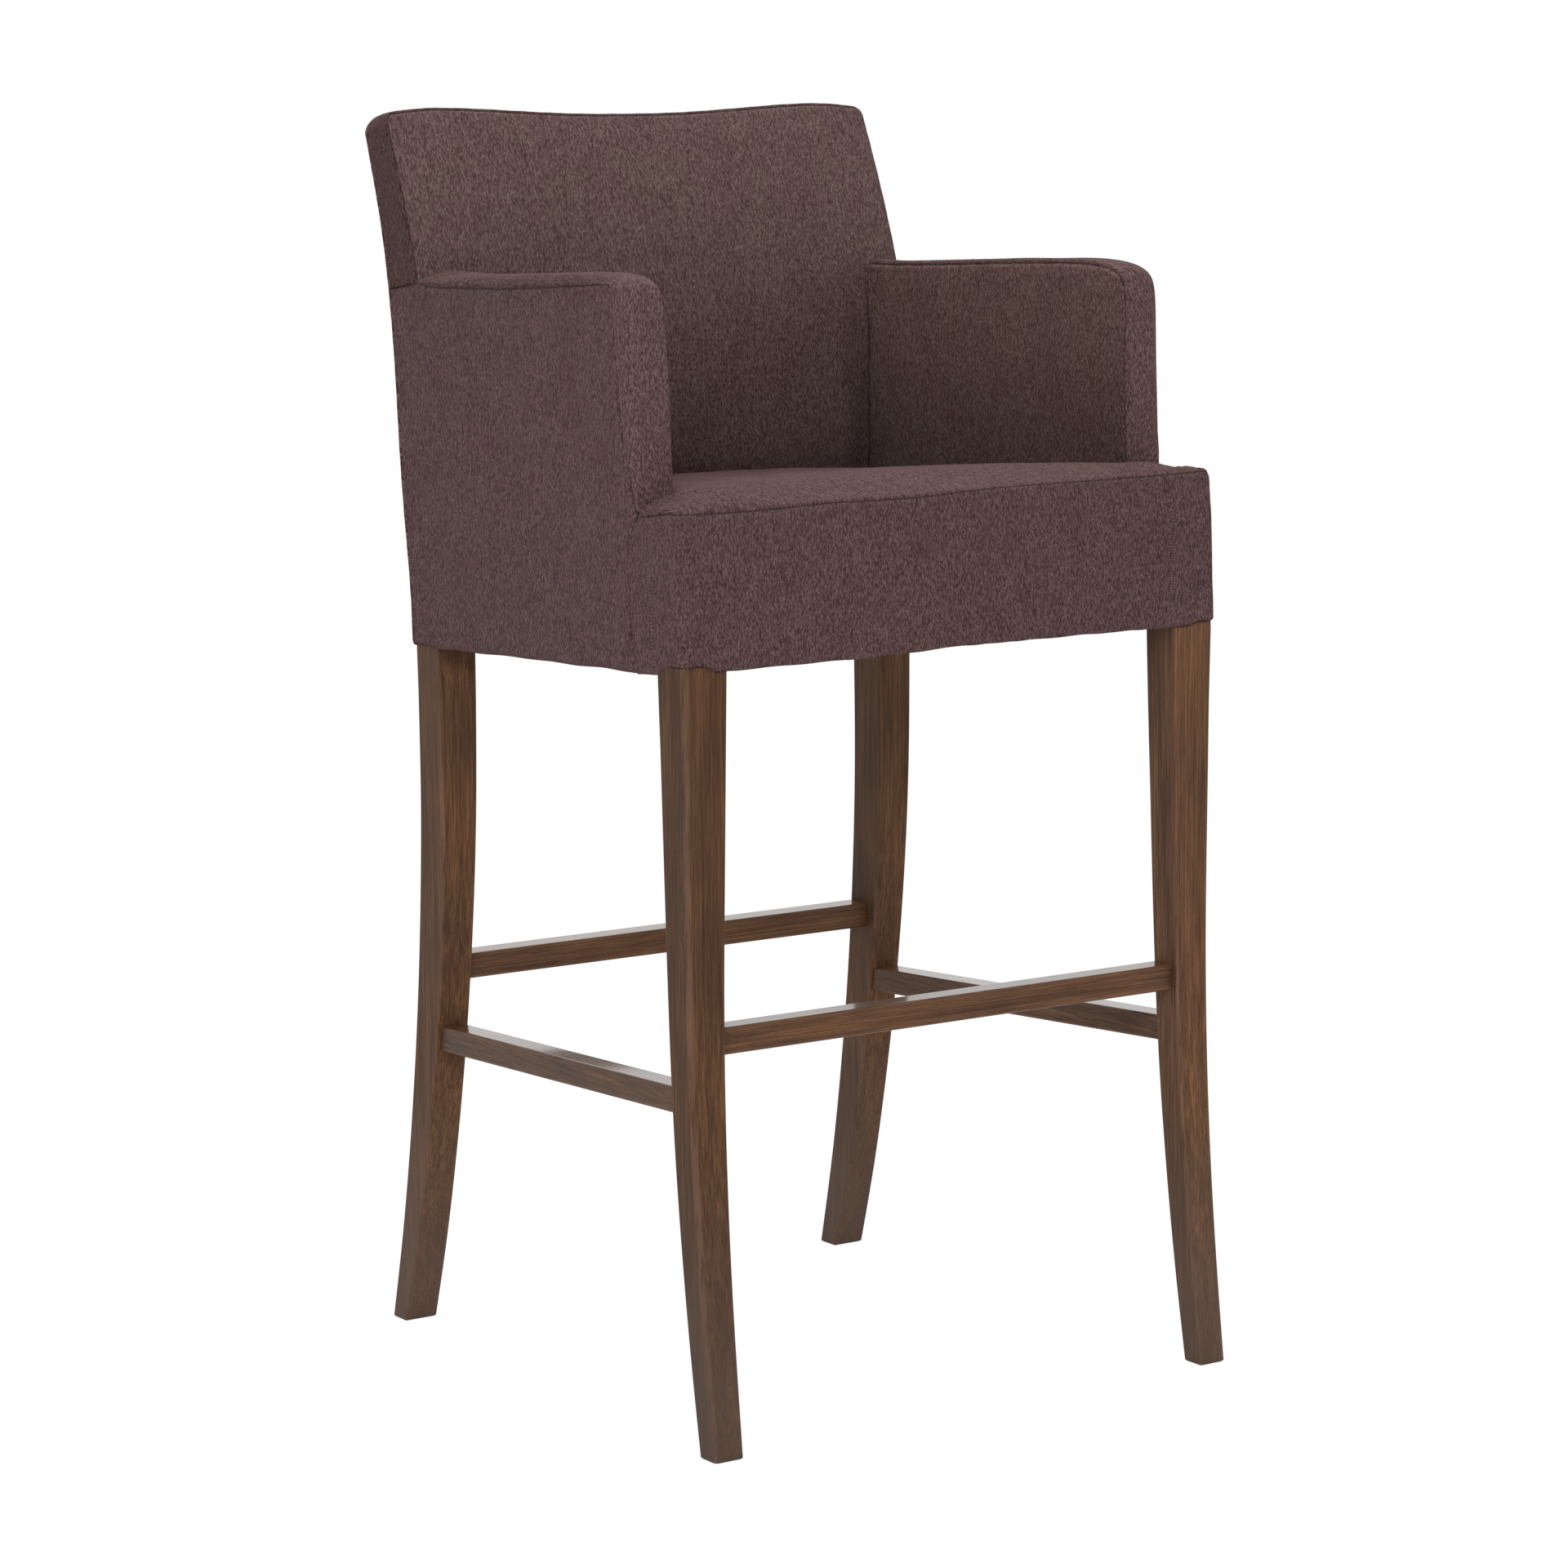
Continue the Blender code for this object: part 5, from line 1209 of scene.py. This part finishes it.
over_hem = slice(len(hem_turns), None)
seam_piece("seam_seat_front", band, -1, 0.9)
for side, _ in sides:
    seam_piece("seam_side_front_" + side, side_data[side], (over_hem, 0))
    seam_piece("seam_arm_top_" + side, side_data[side], (-1, slice(0, -14)))
    seam_piece("seam_arm_inner_" + side, strips[side], (-1, slice(8, -4)))
    seam_piece("seam_rear_" + side, side_data[side], (over_hem, -1))
seam_piece("seam_back_front", boxing, 0, 0.85)
seam_piece("seam_back_rear", boxing, -1, 0.85)


# Legs, each measured at these heights; y is level here, x from the middle
leg_heights = [hem * s for s in (0.0, 0.1278, 0.2571, 0.3849, 0.5134, 0.642, 0.7697, 0.8991)]
leg_cover = 0.003
front_v0 = front_face + leg_cover
rear_v1 = rear_face - leg_cover - cloth_thickness
front_out, rear_out = (float(side_x(v)) - leg_cover for v in (front_v0, rear_v1))
front_top_wide, front_top_deep = 0.0425, 0.0394
rear_top_wide, rear_top_deep = 0.0397, 0.0374
front_top_y = front_v0 * cos_lean + hem * sin_lean
rear_top_y = rear_v1 * cos_lean + hem * sin_lean


def leg_table(face_y, face_by, deep_sign, deep, out, out_by, wide, **more):
    """Front, rear, inner and outer lines of a leg from its visible faces and thicknesses."""
    face = np.add(face_y, face_by)
    other = face + deep_sign * np.array(deep)
    outer = np.add(out, out_by)
    y0, y1 = (face, other) if deep_sign > 0 else (other, face)
    return dict(y0=y0, y1=y1, outer=outer, inner=outer - np.array(wide), wide=wide, deep=deep,
                **more)


legs = {
    "front": leg_table(
        front_top_y, (-0.0367, -0.0256, -0.0159, -0.0086, -0.0039, -0.0015, -0.0007, 0.0),
        1, (0.0223, 0.0252, 0.0272, 0.029, 0.0307, 0.0324, 0.0345, 0.0368),
        front_out, (-0.0042, -0.004, -0.0037, -0.0033, -0.0029, -0.0024, -0.0017, -0.0011),
        (0.0283, 0.0297, 0.0312, 0.0329, 0.0345, 0.0363, 0.0384, 0.0404),
        top=(front_out - front_top_wide, front_out, front_v0, front_v0 + front_top_deep),
        straight_to=0.0085, narrow_from=0.0120, worn=1.0),
    "rear": leg_table(
        rear_top_y, (0.0562, 0.0394, 0.0258, 0.015, 0.0067, 0.0009, -0.0022, -0.0024),
        -1, (0.0233, 0.0288, 0.0334, 0.0369, 0.0392, 0.0404, 0.0405, 0.0395),
        rear_out, (-0.0004, -0.0011, -0.0016, -0.0018, -0.0018, -0.0014, -0.0009, 0.0001),
        (0.0326, 0.0319, 0.0315, 0.0317, 0.0323, 0.0336, 0.0351, 0.0373),
        top=(rear_out - rear_top_wide, rear_out, rear_v1 - rear_top_deep, rear_v1),
        straight_to=0.0035, narrow_from=0.0070, worn=0.6)}
post_rings = ((0.742, 0.1514, 0.1840), (0.800, 0.1570, 0.1860), (0.953, 0.1720, 0.1998),
              (1.058, 0.1985, 0.2232), (1.0695, 0.2015, 0.2262))
post_wide, frame_top, leg_slack, leg_hidden = 0.026, 0.7187, 0.001, 0.007
foot_bevel, leg_low, leg_high, leg_rings, leg_start = 0.0012, 0.006, 0.585, 54, 0.0015
arris_front, arris_rear, arris_small = 0.0035, 0.003, 0.0015
corner_points = 6


def rounded_section(x0, x1, y0, y1, radii, wear=(0.35, 0.35, 0.35, 0.35)):
    """Section points with a radius at each corner, and the share of the painted arris highlight at
    each point.
    """
    points, worn = [], []
    corners = ((x0, y0, 180), (x1, y0, 270), (x1, y1, 0), (x0, y1, 90))
    for (x, y, start), r, share in zip(corners, radii, wear):
        cx, cy = x + (r if x == x0 else -r), y + (r if y == y0 else -r)
        for k in range(corner_points):
            a = math.radians(start + 90 * k / (corner_points - 1))
            points.append((cx + r * math.cos(a), cy + r * math.sin(a)))
            worn.append(share)
    out, edge = [], []
    for i, a in enumerate(points):
        out.append(a)
        edge.append(worn[i])
        if i % corner_points == corner_points - 1:
            j = (i + 1) % len(points)
            b = points[j]
            for t, e in ((0.02, 0.5 * worn[i]), (0.06, 0.0), (0.5, 0.0), (0.94, 0.0),
                         (0.98, 0.5 * worn[j])):
                out.append((a[0] + (b[0] - a[0]) * t, a[1] + (b[1] - a[1]) * t))
                edge.append(e)
    return out, edge


def skin(name, rings, edges, mat):
    """Closed skin through equal rings, with the painted arris highlight share of each point."""
    ob = make_object(name, [tuple(p) for ring in rings for p in ring],
                     ring_faces(len(rings), len(rings[0])), mats=[mat])
    layer = ob.data.attributes.new("arris", "FLOAT", "POINT")
    layer.data.foreach_set("value", [e for ring in edges for e in ring])
    ob.data.set_sharp_from_angle(angle=math.radians(50))
    return ob


def make_leg(end, side, sign, seed, tone):
    """Curved below the hem, then straight up behind the cloth, leaning with the body."""
    leg, front = legs[end], end == "front"
    zs = np.concatenate([[0.0, foot_bevel], np.linspace(leg_low, leg_high, leg_rings)])
    rings, edges = [], []
    # Painted highlight: the arris nearest the camera gets the most of it
    wear = [0.3] * 4
    wear[1 if sign < 0 else 0] = leg["worn"]

    def add(x0, x1, y0, y1, z, leaned=True, big=arris_small):
        radii = [arris_small] * 4
        radii[1 if front else 2] = big if front else arris_rear
        points, edge = rounded_section(x0, x1, y0, y1, radii, wear)
        if leaned:
            rings.append([tuple(world(sign * x, y, z)) for x, y in points])
        else:
            rings.append([(sign * x, y - middle, z) for x, y in points])
        edges.append(edge)

    face, other = (leg["y0"], 1) if front else (leg["y1"], -1)
    face, outer = natural(leg_heights, face, zs), natural(leg_heights, leg["outer"], zs)
    far = face + other * natural(leg_heights, leg["deep"], zs)
    y0, y1 = (face, far) if front else (far, face)
    x0 = outer - natural(leg_heights, leg["wide"], zs)
    for i, z in enumerate(zs):
        less = foot_bevel if i == 0 else 0.0
        add(x0[i] + less, outer[i] - less, y0[i] + less, y1[i] - less, z, False, arris_front)
    for up in (leg_start, leg["straight_to"]):
        add(*leg["top"], hem + up, big=arris_front)
    top_x, _, v0, v1 = leg["top"]
    if front:
        low_v, high_v, out_v = front_face + leg_hidden, v1 - leg_slack, v1
    else:
        low_v, high_v, out_v = v0 + leg_slack, *[rear_face - leg_hidden] * 2
    for w in (hem + leg["narrow_from"], frame_top):
        add(top_x + leg_slack, float(side_x(out_v)) - leg_hidden, low_v, high_v, w)
    for w, low_v, high_v in () if front else post_rings:
        out = float(side_x(high_v)) - leg_hidden
        add(out - post_wide, out, low_v, high_v, w)
    mat = wood_material("walnut_stain_%s_leg_%s" % (end, side), "z", leg_stain, tone, seed,
                        low_paling=0.55)
    ob = skin("turned_%s_leg_%s" % (end, side), rings, edges, mat)
    if sign < 0:
        ob.data.flip_normals()
    return ob


leg_looks = {("front", "left"): (1.1, 0.92), ("front", "right"): (4.7, 1.34),
             ("rear", "left"): (8.2, 1.18), ("rear", "right"): (12.9, 1.10)}
for end in ("front", "rear"):
    for side, sign in sides:
        ob = make_leg(end, side, sign, *leg_looks[end, side])
        dress(ob, "stained_wood", "%s_leg_%s" % (end, side))

# Stretchers; the side ones lean with the body
bar_arris, bar_rings, bar_reach = 0.0022, 40, 0.0045
cross_tall = 0.023
cross_bars = (("front_stretcher", legs["front"], -0.2344, 0.0227, 0.3543),
              ("rear_stretcher", legs["rear"], 0.1995, 0.025, 0.3452))
side_top_w, side_tall, side_inset, side_thick = 0.2933, 0.0225, 0.0093, 0.025
side_front_z, side_rear_z = 0.295, 0.272


def bar(name, places, section, point, mat):
    """Bar through the same rounded section at several places."""
    rings, edges = [], []
    for place in places:
        points, edge = rounded_section(*section(place), [bar_arris] * 4)
        rings.append([tuple(point(place, a, b)) for a, b in points])
        edges.append(edge)
    return skin(name, rings, edges, mat)


for name, leg, y, deep, top in cross_bars:
    reach = float(natural(leg_heights, leg["inner"], top - cross_tall / 2)) + bar_reach
    ob = bar(name + "_bar", np.linspace(-reach, reach, bar_rings),
             lambda x: (y - middle, y + deep - middle, top - cross_tall, top),
             lambda x, a, b: (x, a, b), bar_wood_x)
    dress(ob, "stained_wood", name)


def side_section(v):
    out = float(side_x(v)) - side_inset
    return out - side_thick, out, side_top_w - side_tall, side_top_w


for side, sign in sides:
    ends_y = (float(natural(leg_heights, legs["front"]["y1"], side_front_z)) - bar_reach,
              float(natural(leg_heights, legs["rear"]["y0"], side_rear_z)) + bar_reach)
    ob = bar("side_bar_" + side,
             (np.linspace(*ends_y, bar_rings) - side_top_w * sin_lean) / cos_lean,
             side_section, lambda v, a, b: world(sign * a, v, b), bar_wood_y)
    dress(ob, "stained_wood", "side_stretcher_" + side)

# Frame inside the upholstery
wooden = ("seat_rail", "corner_block", "arm_post", "arm_rail", "back_low", "back_top")
for name, ob in frame["nodes"].items():
    if name.startswith("strap_"):
        mat = web_mat
    elif name.startswith("block_screw"):
        mat = steel_mat
    elif name == "dust_cover":
        mat = lining_mat
    elif name.startswith(wooden):
        low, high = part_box(name)
        size = high - low
        mat = plain_wood["xyz"[max(range(3), key=lambda i: size[i])]]
    else:
        continue
    for slot in ob.material_slots:
        slot.material = mat

# Lining under the seat
lining_margin, lining_thickness, lining_corner = 0.0135, 0.0008, 0.0030
lining_up, lining_sag, sag_edge = 0.0055, 0.0035, 0.18
pleat_deep, pleat_pitch, pleat_edge = 0.0005, 0.045, 0.02
lining_columns, lining_rows = 91, 77


def lining_height(x, v):
    """Height of the lining: stapled at its border, sagging a little between."""
    edge = np.minimum(side_x(v) - lining_margin - np.abs(x),
                      np.minimum(v - front_face - lining_margin, rear_face - lining_margin - v))
    edge = np.maximum(edge, 0)
    sag = lining_sag * between(edge, 0, sag_edge) ** 0.7
    pleat = pleat_deep * np.sin((x + v) * math.tau / pleat_pitch) * np.exp(-edge / pleat_edge)
    return hem + lining_up - sag + pleat


def lining_panel():
    v = np.linspace(front_face + lining_margin, rear_face - lining_margin, lining_rows)
    s, v = np.meshgrid(np.linspace(-1, 1, lining_columns), v)
    x = s * (side_x(v) - lining_margin)
    over_front = ((np.abs(x) > front_out - front_top_wide - lining_corner)
                  & (v < front_v0 + front_top_deep + lining_corner))
    over_rear = ((np.abs(x) > rear_out - rear_top_wide - lining_corner)
                 & (v > rear_v1 - rear_top_deep - lining_corner))
    return world(x, v, lining_height(x, v)), over_front | over_rear


grid, cut_out = lining_panel()
quads = np.roll(grid_quads(*cut_out.shape, True), 1, axis=1)
quads = quads[~cut_out.reshape(-1)[quads].any(1)]
a, b, c, d = np.moveaxis(grid.reshape(-1, 3)[quads], 1, 0)
used, quads = renumbered(quads, cut_out.size)
lining = make_object("seat_lining", grid.reshape(-1, 3)[used], quads, mats=[lining_mat])
thicken(lining, lining_thickness, 1)
dress(lining, "lining", "dust_cover")

staple_inset, staple_from_corner, staple_radius, staple_skew = 0.006, 0.062, 0.0004, 0.25
staples_across, staples_along = 13, 11
staple_x = np.array([-0.005, -0.0046, -0.0036, 0.0, 0.0036, 0.0046, 0.005])
staple_dip = np.array([0.0016, 0.0004, 0.0, 0.0, 0.0, 0.0004, 0.0016])


def staples():
    """Flat crowns of the staples along the lining's border."""
    inset = lining_margin + staple_inset
    places = []
    for v in (front_face + inset, rear_face - inset):
        reach = side_x(v) - staple_from_corner
        places += [(x, v, 1.0, staple_skew) for x in np.linspace(-reach, reach, staples_across)]
    ends = (front_face + staple_from_corner, rear_face - staple_from_corner)
    for _, sign in sides:
        places += [(sign * (side_x(v) - inset), v, staple_skew, 1.0)
                   for v in np.linspace(*ends, staples_along)]
    down = np.tile(world(0.0, 0.0, -1.0) - world(0.0, 0.0, 0.0), (len(staple_x), 1))
    tubes = []
    for x, v, along_x, along_v in places:
        size = math.hypot(along_x, along_v)
        xs, vs = x + staple_x * along_x / size, v + staple_x * along_v / size
        path = world(xs, vs, lining_height(xs, vs) - staple_radius + staple_dip)
        tubes.append(tube(path, down, staple_radius))
    return tubes_object("lining_staples", tubes, steel_mat, "steel")


staples()

# Camera
camera = bpy.data.cameras.new("camera")
camera.lens = 111.08
camera.sensor_width = 36.0
camera.clip_end = 60.0
camera_ob = bpy.data.objects.new("camera", camera)
bpy.context.scene.collection.objects.link(camera_ob)
camera_ob.location = (-2.4144, -3.4569 - middle, 1.1748)
sight = Vector((view_depth, view_back, -0.1568))
camera_ob.rotation_euler = sight.to_track_quat("-Z", "Y").to_euler()
bpy.context.scene.camera = camera_ob

# Floor: pale, and evenly white to the camera and in reflections
span, floor_white, floor_glow, floor_seen = 9.0, 0.90, 1.06, 0.90
floor = make_object("floor", [(-span, -span, 0), (span, -span, 0), (span, span, 0),
                              (-span, span, 0)], [(0, 1, 2, 3)], smooth=False)
net = Net(bpy.data.materials.new("pale_floor"))
net.constants({"Base Color": (floor_white, floor_white, floor_white, 1.0), "Roughness": 0.9,
               "Specular IOR Level": 0.0})
glow = net.add("ShaderNodeEmission", Strength=floor_glow)
mix = net.add("ShaderNodeMixShader")
net.link(net.math("MULTIPLY", net.seen(), floor_seen), mix.inputs[0])
net.link(net.shader.outputs[0], mix.inputs[1])
net.link(glow.outputs[0], mix.inputs[2])
net.link(mix.outputs[0], net.tree.nodes["Material Output"].inputs["Surface"])
floor.data.materials.append(net.owner)

# World: white to the camera and in reflections, soft grey light otherwise
soft_grey = 0.44
net = Net(bpy.data.worlds.new("studio"))
bpy.context.scene.world = net.owner
back = net.tree.nodes["Background"]
back.inputs["Color"].default_value = (1.0, 1.0, 1.0, 1.0)
net.link(net.total(soft_grey, (net.seen(), 1 - soft_grey)), back.inputs["Strength"])


def area(name, place, aim, size, power, colour=(1, 1, 1)):
    data = bpy.data.lights.new(name, "AREA")
    data.shape = "RECTANGLE"
    data.size, data.size_y = size
    data.energy = power
    data.color = colour
    ob = bpy.data.objects.new(name, data)
    bpy.context.scene.collection.objects.link(ob)
    ob.location = place
    ob.rotation_euler = (Vector(aim) - Vector(place)).to_track_quat("-Z", "Y").to_euler()
    ob.visible_camera = False


area("key", (-2.6, -2.6, 2.6), (0, 0, 0.75), (1.8, 1.8), 64, (0.98, 0.99, 1.0))
area("top", (0.2, 0.6, 3.0), (0, 0, 0.8), (2.2, 2.2), 42)
area("fill", (2.8, -1.2, 1.6), (0, 0, 0.7), (1.6, 1.6), 15)

bpy.context.scene.view_settings.view_transform = "Standard"
